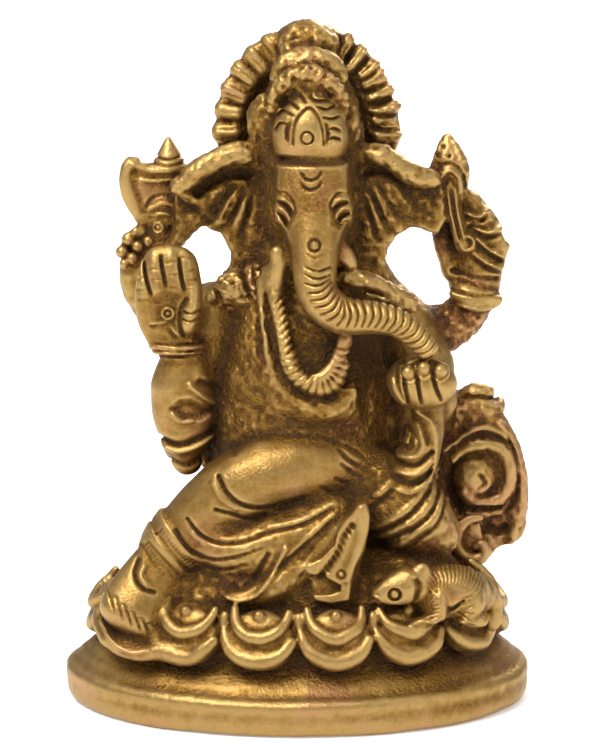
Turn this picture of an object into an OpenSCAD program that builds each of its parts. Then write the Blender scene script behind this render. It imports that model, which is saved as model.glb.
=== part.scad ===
// Seated elephant-headed deity statuette, a small antique-brass casting.
// Millimetres. +Z is up, -Y is the front, and the origin is the centre of the plinth's underside.
// "right" and "left" are the deity's own, so right is at -X.
// Every sculpted element is a solid of its own, as the wax pattern is put together before casting.

/* [Statue] */
// Overall height, which scales the whole statue
statue_h = 77; // [60:1:120]

/* [Plinth and lotus seat] */
// Width of the oval plinth
plinth_w = 53.2; // [50:0.2:58]
// Depth of the oval plinth
plinth_d = 36; // [33:0.5:40]
// Height of the plinth's upright rim
rim_h = 3.4; // [2.8:0.1:4]
// Half width of the lotus seat
seat_rx = 21.5; // [20:0.5:23]
// Half depth of the lotus seat
seat_ry = 14.5; // [13:0.5:15.5]
// Number of lotus petals round the seat
petal_count = 14; // [10:1:18]
// Half height of a petal
petal_h = 3.5; // [2.8:0.1:4]

/* [Halo] */
// Half width of the halo
halo_rx = 10.5; // [10:0.1:12]
// Height of the halo above its centre
halo_rz = 12.2; // [11:0.1:13]
// Number of rays round the halo
ray_count = 15; // [9:2:21]
// Half width of a ray
ray_r = 1.15; // [0.8:0.05:1.3]

/* [Ornaments] */
// Radius of the rope garland
garland_r = 0.9; // [0.6:0.05:1.1]
// Radius of the sash's rolled edge
sash_r = 0.75; // [0.5:0.05:1]
// Radius of each sweet in the hand
sweet_r = 0.75; // [0.5:0.05:0.9]
// Radius of the bolster's large scroll
scroll_r = 4.3; // [3.6:0.1:4.6]
// Turns in the bolster's large scroll
scroll_turns = 1.6; // [1.2:0.1:2]

/* [Colour] */
// Colour of the cast brass
brass = "#a8843c"; // ["#a8843c", "#b5a642", "#8c6a30"]

/* [Hidden] */

model_h = 77;                   // height at which the shapes below are drawn
size_k = statue_h / model_h;
depth_axis = [0, 1, 0];
height_axis = [0, 0, 1];
halo_centre = [1.1, 3, 64.2];

// ---------------------------------------------------------------- helpers

function unit(v) = v / norm(v);
function xyz(s) = [s[0], s[1], s[2]];
function flat_list(lists) = [for (l = lists) each l];

// A point on the smooth curve through the stations p, at t from 0 to len(p) - 1
function along(p, t) =
    let (i = max(0, min(floor(t), len(p) - 2)),
         f = t - i,
         a = p[max(i - 1, 0)],
         b = p[i],
         c = p[i + 1],
         d = p[min(i + 2, len(p) - 1)])
    (2 * b + (c - a) * f + (2 * a - 5 * b + 4 * c - d) * f * f + (3 * b - a - 3 * c + d) * f * f * f) / 2;

function heading(p, t) =
    let (e = 0.01, last = len(p) - 1)
    unit(xyz(along(p, min(t + e, last))) - xyz(along(p, max(t - e, 0))));

// One ring of a limb: an ellipse about centre, r across and r * flat along the other way
function ring(centre, dir, r, flat, axis, sides) =
    let (across = unit(cross(dir, axis)), deep = unit(cross(across, dir)))
    [for (k = [0:sides - 1])
        let (a = 360 * k / sides)
        centre + across * (r * cos(a)) + deep * (r * flat * sin(a))];

// Closed skin over rings of equal length, with a point at each end
module rings_skin(rings, first, last) {
    n = len(rings[0]);
    m = len(rings);
    points = concat([first], flat_list(rings), [last]);
    sides = flat_list([for (i = [0:m - 2], k = [0:n - 1])
        let (a = 1 + i * n + k, b = 1 + i * n + (k + 1) % n)
        [[a, b, b + n], [a, b + n, a + n]]]);
    start = [for (k = [0:n - 1]) [0, 1 + (k + 1) % n, 1 + k]];
    top = 1 + (m - 1) * n;
    end = [for (k = [0:n - 1]) [m * n + 1, top + k, top + (k + 1) % n]];
    polyhedron(points, concat(start, sides, end));
}

// A tapering rounded limb through stations [x, y, z, r]. cap is how far its ends bulge, in radii.
module limb(stations, flat = 1, sides = 12, steps = 2, cap = 1, axis = depth_axis) {
    last = len(stations) - 1;
    d0 = heading(stations, 0);
    d1 = heading(stations, last);
    s0 = stations[0];
    s1 = stations[last];
    angles = [60, 30];
    begin = [for (a = angles)
        ring(xyz(s0) - d0 * (s0[3] * cap * sin(a)), d0, s0[3] * cos(a), flat, axis, sides)];
    body = [for (i = [0:last * steps])
        let (t = i / steps, s = along(stations, t))
        ring(xyz(s), heading(stations, t), s[3], flat, axis, sides)];
    finish = [for (a = [30, 60])
        ring(xyz(s1) + d1 * (s1[3] * cap * sin(a)), d1, s1[3] * cos(a), flat, axis, sides)];
    rings_skin(concat(begin, body, finish), xyz(s0) - d0 * s0[3] * cap, xyz(s1) + d1 * s1[3] * cap);
}

module egg(centre, radii, turn = [0, 0, 0], sides = 16) {
    translate(centre)
        rotate(turn)
            scale(radii)
                sphere(1, $fn = sides);
}

// A flat piece drawn in the front view as [x, z] points, from y0 at the front to y1 at the back
module slab(outline, y0, y1) {
    translate([0, y1, 0])
        rotate([90, 0, 0])
            linear_extrude(y1 - y0)
                polygon(outline);
}

// Joins its pieces into one closed skin
module one_skin() {
    resize([0, 0, 0])
        union()
            children();
}

// An oval turning: profile is [inset, z] pairs from the bottom up, rx and ry the widest half axes
module oval_turning(profile, rx, ry, sides) {
    rings = [for (p = profile)
        [for (k = [0:sides - 1])
            let (a = 360 * k / sides)
            [(rx - p[0]) * cos(a), (p[0] - ry) * sin(a), p[1]]]];
    top = profile[len(profile) - 1];
    rings_skin(rings, [0, 0, profile[0][1]], [0, 0, top[1]]);
}

// A ring of round section on a limb: centre, the way the limb runs, the ring's radius and its wire's
module bangle(centre, dir, ring_r, wire_r) {
    swing = acos(dir[2] / norm(dir));
    translate(centre)
        rotate([0, swing, atan2(dir[1], dir[0])])
            rotate_extrude($fn = 48)
                translate([ring_r, 0])
                    circle(wire_r, $fn = 24);
}

// Every node is drawn in the cast brass and at the statue's size
module cast() {
    color(brass)
        scale(size_k)
            children();
}

// Stations of one radius along a path
function cord(path, r) = [for (p = path) [p[0], p[1], p[2], r]];

// ---------------------------------------------------------------- plinth and lotus seat

module plinth() {
    edge = [[0.8, -1], [0.5, 0.2], [0, 1], [0, rim_h - 0.8], [0.2, rim_h - 0.1], [0.7, rim_h + 0.7],
            [1.6, rim_h + 1.8], [2.8, rim_h + 2.8], [4.2, rim_h + 3.7], [6.5, rim_h + 4.6]];
    cut = 10;
    cast()
        difference() {
            oval_turning(edge, plinth_w / 2, plinth_d / 2, 48);
            translate([-plinth_w, -plinth_d, -cut])
                cube([2 * plinth_w, 2 * plinth_d, cut]);
        }
}

module lotus_seat() {
    profile = [[0.9, 5.2], [0.3, 6.5], [0, 8], [0.6, 10], [2, 12], [4.4, 14.5], [6.8, 18], [7.8, 22],
               [8.6, 25]];
    cast()
        oval_turning(profile, seat_rx, seat_ry, 32);
}

// Half axes of the oval that the petals stand on, and the arc length from angle 0 to each whole degree
petal_rx = seat_rx + 0.4;
petal_ry = seat_ry + 0.4;
function oval_at(a) = [petal_rx * sin(a), -petal_ry * cos(a)];
function arc_lengths(a = 0, so_far = 0, found = []) =
    a > 360 ? found
            : arc_lengths(a + 1, so_far + norm(oval_at(a + 1) - oval_at(a)), concat(found, [so_far]));
petal_arcs = arc_lengths();
function petal_angle(i) = lookup((i + 0.5) / petal_count * petal_arcs[360],
                                 [for (a = [0:360]) [petal_arcs[a], a]]);

module lotus_petals() {
    petal_w = petal_arcs[360] / petal_count / 2 + 0.1;
    cast()
        for (i = [0:petal_count - 1]) {
            a = petal_angle(i);
            p = oval_at(a);
            facing = atan2(p[1] / (petal_ry * petal_ry), p[0] / (petal_rx * petal_rx));
            translate([p[0], p[1], 10.2])
                rotate([0, 0, facing + 90])
                    rotate([-18, 0, 0])
                        scale([petal_w, 1.7, petal_h])
                            sphere(1, $fn = 12);
        }
}

// ---------------------------------------------------------------- body

module torso() {
    belly = [[0.5, 1, 27, 10.5], [0.5, 0, 33, 11.2], [0.6, -0.3, 38, 10.4], [0.8, 0, 43, 9.2],
             [1, 0.8, 47.5, 8.2], [1.3, 1, 51.5, 6.2]];
    shoulders = [[-9.2, 0.2, 44.2, 2.7], [-5, 0, 47, 3.4], [1, 0.5, 48.8, 4],
                 [8, 0, 46.8, 3.4], [12.6, 0.2, 43, 3]];
    cast()
        one_skin() {
            limb(belly, flat = 0.78, sides = 18, steps = 1, cap = 0.4);
            limb(shoulders, sides = 12, steps = 1);
        }
}

module shoulder_ornament() {
    cast()
        one_skin() {
            egg([-7, -2.4, 47.3], [2.3, 2, 2.4], sides = 12);
            egg([-5, -3.2, 48], [1.6, 1.6, 2.4], sides = 12);
        }
}

module shoulder_roll() {
    cast()
        limb([[4.2, -6, 49.2, 1], [6.5, -6.4, 48.8, 1.3], [9.2, -6.2, 47.8, 1.3], [12.2, -5.4, 46, 1.2]],
             sides = 10);
}

module garland() {
    path = [[-3, -6.4, 49.8], [-2.3, -7.5, 47], [-1.7, -8.2, 44.2], [-1.2, -8.6, 41.3], [-0.5, -9, 39],
            [1, -9.2, 37.9], [2.8, -9, 38.4], [4.4, -8.6, 40], [5.2, -8.3, 42.6]];
    cast()
        limb(cord(path, garland_r), sides = 10, steps = 2);
}

module sash() {
    path = [[-4.3, -5.8, 48.8], [-3.9, -7, 45], [-3.3, -7.8, 41], [-2.3, -8.4, 37.6], [0, -8.8, 35.4],
            [3, -8.8, 34.7], [5.6, -8.4, 35.6], [6.8, -8, 38.4]];
    cast()
        limb(cord(path, sash_r), sides = 8, steps = 2);
}

// ---------------------------------------------------------------- head

module head() {
    face = [[1.65, -4.4, 61.3, 4.1], [1.7, -4.8, 58.5, 4.4], [1.8, -5.6, 55, 3.8], [1.85, -6.4, 52, 2.9]];
    cast()
        one_skin() {
            egg([1.6, -0.8, 57.3], [5.6, 5, 7.4], sides = 18);
            limb(face, flat = 0.76, sides = 16, cap = 0.25);
        }
}

module trunk() {
    path = [[1.8, -6, 54.6, 2.9], [1.85, -7.6, 52, 2.6], [1.9, -8.7, 49, 2.35], [2.7, -9.4, 46.9, 2.25],
            [4.9, -10, 45.4, 2.15], [7.9, -10.4, 45.3, 1.9], [10.7, -10.6, 44.8, 1.65],
            [12.9, -10.8, 43.2, 1.5], [14.2, -10.9, 41.6, 1.4]];
    cast()
        limb(path, sides = 14, steps = 2, cap = 0.6);
}

// A fan-shaped ear with a rolled rim along its top
module ear(outline, rim) {
    one_skin() {
        slab(outline, -1.9, 1);
        limb(rim, sides = 10, steps = 2);
    }
}

module ear_right() {
    outline = [[-2.8, 62.8], [-7, 63], [-11, 61.6], [-13.6, 59.2], [-13.8, 56.5], [-13.6, 54], [-11.6, 54],
               [-9.8, 54.3], [-8.2, 53.2], [-7.3, 51], [-7.6, 49], [-3.6, 48], [-2, 53.5]];
    rim = [[-3, -1.7, 62.4, 1], [-6.4, -2.7, 62.8, 1.15], [-10, -2.9, 61.4, 1.2], [-13, -2.6, 58.9, 1.1]];
    cast()
        ear(outline, rim);
}

module ear_left() {
    outline = [[6, 62.6], [9, 62.8], [12, 61.2], [15.6, 60.2], [16.2, 58.6], [16.8, 55], [15.6, 53.4],
               [12.7, 54.1], [11, 53.2], [9.7, 50.8], [10.4, 48.6], [8, 47.6], [5, 53]];
    rim = [[6.4, -1.8, 62.3, 1], [9.3, -2.7, 62.4, 1.15], [12, -2.9, 60.6, 1.2], [14.8, -2.6, 59.7, 1.1]];
    cast()
        ear(outline, rim);
}

module eye(centre, lean) {
    egg(centre, [0.95, 0.8, 2], [0, lean, 0], 16);
}

module eye_right() {
    cast()
        eye([-1.4, -6.9, 57.1], 20);
}

module eye_left() {
    cast()
        eye([4.9, -6.9, 57.1], -20);
}

module tusk_right() {
    cast()
        limb([[-1, -6.2, 52.2, 0.9], [-1.9, -7.2, 51, 1.15], [-2.2, -7.2, 49, 0.85]], sides = 10);
}

module tusk_left() {
    cast()
        limb([[4.4, -6.4, 52.6, 0.9], [5.3, -7, 51.5, 1.05], [5.8, -7.2, 50.7, 0.8]], sides = 10);
}

// ---------------------------------------------------------------- crown and halo

module crown_core() {
    cap_line = [[1.4, 0, 60.5, 6.2], [1.4, 0.2, 65, 6], [1.4, 0.5, 69, 5], [1.3, 1, 72, 3.8],
                [1.2, 1.4, 74, 3]];
    cast()
        limb(cap_line, flat = 0.8, sides = 16, steps = 1, cap = 0.4);
}

module crown_plaque() {
    cast()
        one_skin()
            intersection() {
                egg([1.4, -4.4, 64.3], [4.2, 3.3, 4.9], sides = 24);
                translate([-5, -10, 62.4])
                    cube([13, 7, 10]);
            }
}

module crown_band(path, r) {
    limb(cord(path, r), sides = 10, steps = 2);
}

module crown_band_lower() {
    path = [[-3.4, -4, 65.4], [-2.4, -4.6, 68], [-0.9, -4.6, 70.4], [1.5, -4.4, 71.6],
            [4, -4.6, 70.4], [5.5, -4.6, 68], [6.4, -4, 65.4]];
    cast()
        crown_band(path, 1.05);
}

module crown_band_upper() {
    path = [[-2.9, -2.2, 71], [-1.2, -2.7, 72.9], [1.5, -2.9, 73.6], [4, -2.7, 72.8], [5.6, -2.2, 70.8]];
    cast()
        crown_band(path, 0.9);
}

module crown_finial() {
    cast()
        one_skin() {
            egg([1.2, 0.6, 74.4], [3.7, 2.5, 1.9], sides = 14);
            egg([0.9, 0.8, 75.6], [2.4, 1.9, 1.4], sides = 14);
        }
}

function halo_point(a, share) =
    [halo_centre[0] + halo_rx * share * cos(a), halo_centre[2] + halo_rz * share * sin(a)];

module halo_plate() {
    arch = [for (a = [-14:8:194]) halo_point(a, 0.93)];
    cast()
        slab(arch, halo_centre[1] - 0.6, halo_centre[1] + 2.2);
}

module halo_rays() {
    cast()
        one_skin()
            for (i = [0:ray_count - 1]) {
                a = 180 - 190 * (i + 0.5) / ray_count + 5;
                inner = halo_point(a, 0.74);
                outer = halo_point(a, 0.93);
                limb([[inner[0], 1.8, inner[1], ray_r * 0.85], [outer[0], 2.4, outer[1], ray_r]],
                     flat = 1.3, sides = 8, steps = 1, cap = 0.7);
            }
}

// ---------------------------------------------------------------- right arms, axe and blessing hand

module arm_rear_right() {
    arm = [[-8.6, 2, 45.2, 2.6], [-12.6, 3, 44.2, 2.6], [-16.6, 2.6, 45, 2.5], [-18.2, 1.8, 48, 2.1],
           [-17.8, 1.2, 50.6, 1.9]];
    cast()
        limb(arm, sides = 12, steps = 2);
}

module hand_rear_right() {
    fingertips = [[-19.3, -0.4, 50.2], [-19.5, -0.6, 51.6], [-19.1, -0.8, 52.9], [-18, -1, 53.6]];
    cast()
        one_skin() {
            egg([-16.4, 0.8, 52.2], [3, 2.2, 2.6], sides = 14);
            for (p = fingertips)
                egg(p, [1, 1, 1], sides = 10);
        }
}

module axe_handle() {
    cast()
        limb([[-15.4, 0.4, 50, 1.1], [-15.2, 0.4, 54, 1.1], [-15, 0.4, 57, 1.1]], sides = 10, steps = 1);
}

module axe_blade() {
    outline = [[-19, 61.6], [-17.8, 61.2], [-15.5, 60.8], [-12.6, 60.6], [-12.2, 58.6], [-12.6, 56.4],
               [-13.6, 54.6], [-15.5, 53.8], [-17, 54.4], [-18, 56.8], [-19.4, 59.6]];
    edge = [[-18.7, 0.4, 61.2, 0.7], [-19.1, 0.4, 59.6, 0.8], [-18.3, 0.4, 57.2, 0.8],
            [-17.2, 0.4, 54.8, 0.7]];
    cast()
        one_skin() {
            slab(outline, -0.6, 1.4);
            limb(edge, flat = 1.6, sides = 8, steps = 2);
        }
}

module axe_spike() {
    cast()
        translate([-14.4, 0.5, 60.2])
            cylinder(h = 3.8, r1 = 2.1, r2 = 0.25, $fn = 32);
}

module arm_front_right() {
    sleeve = [[-12.8, -4.6, 39.6, 2.7], [-12.9, -4.4, 37, 3.6], [-12.8, -4, 33.6, 3.6],
              [-12.5, -3.5, 30, 2.9], [-12.4, -3, 27.4, 1.8]];
    upper = [[-9.2, -0.5, 44.6, 3.2], [-11, -1.5, 40, 3.6], [-11.6, -2, 33.5, 3]];
    cast()
        one_skin() {
            limb(sleeve, flat = 0.85, sides = 14, steps = 1, cap = 0.7);
            limb(upper, sides = 12, steps = 1);
        }
}

module wristband_right() {
    cast()
        egg([-13.4, -5.6, 41.2], [3.1, 2.3, 1.2], sides = 20);
}

module hand_front_right() {
    palm = [[-14.2, -6.4, 42.8, 2.9], [-14.3, -6.8, 45, 3.6], [-14.1, -6.9, 48.2, 3.75],
            [-13.9, -6.7, 50.8, 3.2]];
    thumb = [[-12.2, -7.4, 44, 1.1], [-11.4, -7.4, 46.4, 1.1], [-11.5, -7.3, 48.6, 0.9]];
    cast()
        one_skin() {
            limb(palm, flat = 0.45, sides = 16, steps = 2, cap = 0.65);
            limb(thumb, sides = 8, steps = 1);
        }
}

// ---------------------------------------------------------------- left arms, lotus and sweets

module arm_rear_left() {
    arm = [[11.6, 1.4, 42.6, 3], [15, 1.8, 41.8, 3], [18, 1.8, 43, 2.7], [19.8, 1.7, 45.4, 2.6],
           [20.4, 1.6, 47.4, 2.5]];
    cast()
        limb(arm, sides = 12, steps = 2);
}

module bangle_rear_left() {
    cast()
        bangle([20.1, 1.6, 46.4], [0.35, 0, 1], 2.5, 0.65);
}

module hand_rear_left() {
    palm = [[20.4, 1.4, 48.2, 2.7], [20.6, 1.2, 51, 3], [20.2, 1.2, 54, 2.6], [19.2, 1.4, 56.4, 1.8]];
    fingers = [[22.4, -0.2, 49.6], [22.8, -0.4, 51.6], [22, -0.5, 53.4], [20.8, -0.5, 55.2]];
    cast()
        one_skin() {
            limb(palm, flat = 0.8, sides = 14, steps = 1);
            for (p = fingers)
                egg(p, [1.3, 1.1, 0.95], [0, -25, 0], 10);
        }
}

module lotus_stem() {
    cast()
        limb([[18.6, -0.6, 52, 1], [17.7, -0.6, 55, 1], [16.9, -0.2, 58, 1]], sides = 10, steps = 1);
}

module lotus_bud() {
    cast()
        limb([[17.5, 0.6, 57.6, 1.5], [17.1, 0.6, 60, 2.35], [16.8, 0.6, 62.2, 1.7], [16.6, 0.6, 63.8, 0.7]],
             flat = 0.9, sides = 12, steps = 2);
}

module arm_front_left() {
    upper = [[12.4, -0.8, 43, 2.9], [14.6, -2.8, 38.6, 3.1], [15.2, -5, 35, 2.7]];
    sleeve = [[14.4, -8, 35.4, 1.8], [14.3, -8, 32.4, 2], [13.4, -7.8, 29.4, 2.4], [12.2, -7.2, 26.4, 2.4]];
    cast()
        one_skin() {
            limb(upper, sides = 12, steps = 1);
            limb(sleeve, flat = 1.2, sides = 12, steps = 1);
        }
}

module hand_front_left() {
    cast()
        one_skin() {
            egg([13.7, -9.4, 37.8], [3.9, 2.9, 2.9], sides = 20);
            egg([12.2, -8.4, 38], [2.6, 2.4, 2.6], sides = 12);
        }
}

module sweets() {
    cast()
        for (p = [[12, 39.4], [13.7, 39.9], [15.5, 39.6]])
            translate([p[0], -11.6, p[1]])
                sphere(sweet_r, $fn = 32);
}

// ---------------------------------------------------------------- legs and drapery

module leg_right() {
    cast()
        limb([[6, -4.6, 28, 3.6], [1.5, -6.8, 27.9, 4], [-3.2, -7.6, 27.5, 4.2], [-7.6, -7.4, 25, 4.2],
              [-11, -7, 21.8, 3.9], [-13.4, -6.8, 19.2, 3.6]], sides = 14, steps = 2);
}

shin_dir = [-0.72, 0, -0.69];

module anklet_upper() {
    cast()
        bangle([-12, -7, 20.6], shin_dir, 3.5, 0.8);
}

module anklet_lower() {
    cast()
        bangle([-13.4, -7, 19.1], shin_dir, 3.5, 0.95);
}

module foot_right() {
    foot = [[-14.3, -7.2, 17.2, 3.8], [-16.2, -8.4, 14.6, 4.2], [-17.8, -9.6, 12.2, 4.4],
            [-18.6, -10.2, 10.9, 4.1]];
    cast()
        limb(foot, flat = 0.72, sides = 14, steps = 2, cap = 0.35);
}

module foot_rest() {
    rim = [[-22.2, -7, 11.2, 1], [-21.2, -10.4, 9.2, 1], [-17.6, -12.6, 8.2, 1], [-13, -13, 8.6, 0.9]];
    cast()
        one_skin() {
            limb(rim, sides = 8);
            egg([-17.8, -9, 9], [4.6, 3.6, 1.4], sides = 14);
        }
}

module leg_left() {
    leg = [[5, -3.6, 26.6, 4], [9.5, -6, 25, 4.4], [13, -6.6, 22.4, 4.2], [15, -6, 20.4, 3.4]];
    cast()
        limb(leg, sides = 14, steps = 2);
}

module dhoti_folds() {
    cloth = [[-11, -7.6, 20.6, 2.9], [-7, -9, 18.8, 3.3], [-2, -9.2, 20, 3.6], [3.6, -8.4, 22.6, 3.2]];
    hem = [[3.4, -10, 21.4, 1.3], [-0.2, -11.4, 17.2, 1.6], [-3.6, -12, 15, 1.5], [-6.8, -12, 14.6, 1.1]];
    cast()
        one_skin() {
            limb(cloth, sides = 12, steps = 2);
            limb(hem, sides = 10, steps = 2);
        }
}

module dhoti_pleat() {
    outline = [[5.8, 26.2], [7.7, 25.8], [8.3, 22], [7.6, 19.5], [6.9, 17], [6.2, 12.9], [3.2, 12.6],
               [3.2, 14.8], [5.4, 15.8], [5.2, 17.2], [2.1, 17.8], [4.2, 20.6], [4.8, 24]];
    cast()
        slab(outline, -13.6, -8.6);
}

// ---------------------------------------------------------------- mouse

module mouse_head() {
    face = [[8.4, -13.4, 14.8, 0.55], [10.4, -13.2, 15.5, 1.5], [12.6, -12.6, 16, 2.1]];
    cast()
        one_skin() {
            limb(face, flat = 0.8, sides = 12);
            egg([13.6, -12.9, 17.4], [1.2, 0.8, 1.3], sides = 12);
        }
}

module mouse_body() {
    back = [[13.4, -11.6, 15.4, 1.9], [15.8, -11, 15.2, 2.8], [18.2, -9.6, 14.4, 3], [19.8, -8.2, 13.6, 2.3]];
    cast()
        limb(back, sides = 12, steps = 2);
}

module mouse_legs() {
    cast()
        one_skin() {
            limb([[15.4, -13.4, 14.6, 1], [15.6, -13.8, 12.9, 0.85], [13.2, -13.9, 12, 0.6]], sides = 8);
            limb([[19.4, -12, 13.6, 1.3], [18.6, -12.8, 12.1, 0.9], [20.4, -12.2, 11.7, 0.7]], sides = 8);
        }
}

module mouse_tail() {
    cast()
        limb([[19.4, -5.6, 17, 0.6], [21.2, -5.8, 15.2, 0.8], [22.2, -6.4, 12.6, 0.9], [22, -7.6, 10, 0.7]],
             sides = 8);
}

// ---------------------------------------------------------------- bolster

module bolster_body() {
    outline = [[10, 33], [16.4, 34.2], [19, 34.8], [22, 33.8], [24, 31.6], [25.4, 28.6], [26.2, 25],
               [26.4, 21.5], [25.9, 18.4], [24.6, 17], [23.2, 18], [22.4, 16.2], [20.6, 14.8], [19, 12.5],
               [12, 12.5], [10, 20]];
    cast()
        slab(outline, -1.2, 5.8);
}

// A flat spiral rope: centre in the front view, outer radius, turns, wire radius and y
module scroll(centre, outer_r, inner_r, turns, wire_r, y, start) {
    count = ceil(turns * 12);
    path = [for (i = [0:count])
        let (a = start - 360 * turns * i / count, r = outer_r + (inner_r - outer_r) * i / count)
        [centre[0] + r * cos(a), y, centre[1] + r * sin(a)]];
    limb(cord(path, wire_r), sides = 8, steps = 1);
}

module bolster_scroll() {
    cast()
        one_skin() {
            scroll([21.3, 27.2], scroll_r, 1.3, scroll_turns, 0.95, -1.6, 200);
            egg([21.3, -1.4, 27.2], [1.6, 1.3, 1.6], sides = 12);
        }
}

module bolster_scroll_small() {
    cast()
        one_skin()
            scroll([19.2, 19], 1.9, 0.5, 1.2, 0.75, -3.6, 60);
}

module bolster_finial() {
    cast()
        one_skin() {
            egg([20.6, 1.4, 35], [2, 1.9, 0.9], sides = 14);
            egg([21.2, 1.4, 33.6], [2.8, 2.3, 1], sides = 14);
        }
}

// ---------------------------------------------------------------- assembly

plinth();
lotus_seat();
lotus_petals();
torso();
shoulder_ornament();
shoulder_roll();
garland();
sash();
head();
trunk();
ear_right();
ear_left();
eye_right();
eye_left();
tusk_right();
tusk_left();
crown_core();
crown_plaque();
crown_band_lower();
crown_band_upper();
crown_finial();
halo_plate();
halo_rays();
arm_rear_right();
hand_rear_right();
axe_handle();
axe_blade();
axe_spike();
arm_front_right();
wristband_right();
hand_front_right();
arm_rear_left();
bangle_rear_left();
hand_rear_left();
lotus_stem();
lotus_bud();
arm_front_left();
hand_front_left();
sweets();
leg_right();
anklet_upper();
anklet_lower();
foot_right();
foot_rest();
leg_left();
dhoti_folds();
dhoti_pleat();
mouse_head();
mouse_body();
mouse_legs();
mouse_tail();
bolster_body();
bolster_scroll();
bolster_scroll_small();
bolster_finial();
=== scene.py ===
"""A small cast brass statue of an elephant-headed deity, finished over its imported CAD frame.

Each CAD node is worked like clay: its solid becomes a distance field on a fine grid, detail is added to
and cut from the field, and the field becomes the piece's mesh. Places and sizes are in the statue's own
millimetres: from the middle of its foot, x to the viewer's right, y away and z up, for one 77 high.
"""

import math

import bpy
import numpy as np
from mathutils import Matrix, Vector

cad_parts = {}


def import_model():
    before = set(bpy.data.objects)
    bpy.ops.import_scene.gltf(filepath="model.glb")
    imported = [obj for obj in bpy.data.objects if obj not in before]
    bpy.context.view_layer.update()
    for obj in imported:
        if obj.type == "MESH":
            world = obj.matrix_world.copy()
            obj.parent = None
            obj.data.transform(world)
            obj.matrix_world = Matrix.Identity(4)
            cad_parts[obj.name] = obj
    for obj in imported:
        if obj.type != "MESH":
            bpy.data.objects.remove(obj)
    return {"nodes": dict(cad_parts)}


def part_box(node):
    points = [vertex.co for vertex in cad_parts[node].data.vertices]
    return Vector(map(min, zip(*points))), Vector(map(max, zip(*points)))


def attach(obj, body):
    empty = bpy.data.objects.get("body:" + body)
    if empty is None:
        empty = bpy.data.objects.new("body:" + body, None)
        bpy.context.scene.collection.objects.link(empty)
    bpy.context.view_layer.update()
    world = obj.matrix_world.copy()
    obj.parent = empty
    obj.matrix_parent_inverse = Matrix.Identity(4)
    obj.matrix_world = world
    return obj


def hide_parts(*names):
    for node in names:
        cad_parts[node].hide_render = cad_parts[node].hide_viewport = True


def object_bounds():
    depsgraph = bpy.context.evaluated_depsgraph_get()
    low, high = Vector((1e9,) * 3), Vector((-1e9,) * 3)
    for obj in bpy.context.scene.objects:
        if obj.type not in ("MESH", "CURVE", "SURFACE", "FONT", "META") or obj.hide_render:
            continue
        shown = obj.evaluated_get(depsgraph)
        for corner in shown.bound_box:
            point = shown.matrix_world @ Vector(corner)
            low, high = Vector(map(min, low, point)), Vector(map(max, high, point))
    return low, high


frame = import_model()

import openvdb
from mathutils import Vector

CAD_LO, CAD_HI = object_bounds()

DRAWN_HEIGHT = 77.0
UNIT = (CAD_HI.z - CAD_LO.z) / DRAWN_HEIGHT  # metres in one of the statue's millimetres
ORIGIN = np.array([(CAD_LO.x + CAD_HI.x) / 2, (CAD_LO.y + CAD_HI.y) / 2, CAD_LO.z])

COARSER = 1.0
FACE = 0.13 * COARSER
FINE = 0.15 * COARSER
MEDIUM = 0.2 * COARSER
BROAD = 0.23 * COARSER
ROOM = 0.9  # clear grid kept round each node
FAR = 2.2  # distances are only kept this near to a surface
FLOATER = 80  # a loose part with fewer points than this is dropped
SEED = 11
FILLET = 1.0  # how softly the pieces run into one another
CARVED = 0.65  # how much of a sunk mark's depth is cut
PLATE_EDGE = 0.3  # how round a plate's edges are
EDGE_FADE = 0.8  # how softly marks end at the plane that limits them
RIB_TAPER = 0.4
MARGIN = 0.3  # grid worked on past a shape's own reach


# Fields ------------------------------------------------------------------------------------------


def soft_min(a, b, blend):
    """The nearer of two distances, rounded where they cross."""
    if blend <= 0:
        return np.minimum(a, b)
    h = np.clip(0.5 + 0.5 * (b - a) / blend, 0, 1)
    return b + (a - b) * h - blend * h * (1 - h)


def blurred(field, reach):
    """The field averaged over a Gaussian whose spread is reach grid steps."""
    if reach < 0.3:
        return field
    half = max(1, int(math.ceil(2.6 * reach)))
    weights = np.exp(-0.5 * (np.arange(-half, half + 1) / reach) ** 2)
    weights = (weights / weights.sum()).astype(np.float32)
    for axis in range(field.ndim):
        pad = [(half, half) if a == axis else (0, 0) for a in range(field.ndim)]
        wide = np.pad(field, pad, mode="edge")
        count = field.shape[axis]
        total = np.zeros_like(field)
        for i, w in enumerate(weights):
            part = [slice(None)] * field.ndim
            part[axis] = slice(i, i + count)
            total += w * wide[tuple(part)]
        field = total
    return field


def regrid(field, old, new, outside):
    """The field read at another grid's axes, and outside beyond its own."""
    for axis in range(3):
        place = (new[axis] - old[axis][0]) / (old[axis][1] - old[axis][0])
        lower = np.clip(np.floor(place).astype(int), 0, len(old[axis]) - 2)
        share = np.clip(place - lower, 0, 1).astype(np.float32)
        shape = [1, 1, 1]
        shape[axis] = len(place)
        share = share.reshape(shape)
        field = np.take(field, lower, axis) * (1 - share) + np.take(field, lower + 1, axis) * share
        beyond = (place < 0) | (place > len(old[axis]) - 1)
        if beyond.any():
            where = [slice(None)] * 3
            where[axis] = beyond
            field[tuple(where)] = outside
    return field


def read_at(field, axes, points):
    """The field's value at each point, between its grid points."""
    step = axes[0][1] - axes[0][0]
    place = [(points[:, a] - axes[a][0]) / step for a in range(3)]
    lower = [np.clip(np.floor(p).astype(int), 0, len(axes[a]) - 2) for a, p in enumerate(place)]
    share = [np.clip(p - q, 0, 1) for p, q in zip(place, lower)]
    total = np.zeros(len(points))
    for i in (0, 1):
        for j in (0, 1):
            for k in (0, 1):
                w = abs(1 - i - share[0]) * abs(1 - j - share[1]) * abs(1 - k - share[2])
                total += w * field[lower[0] + i, lower[1] + j, lower[2] + k]
    return total


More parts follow.
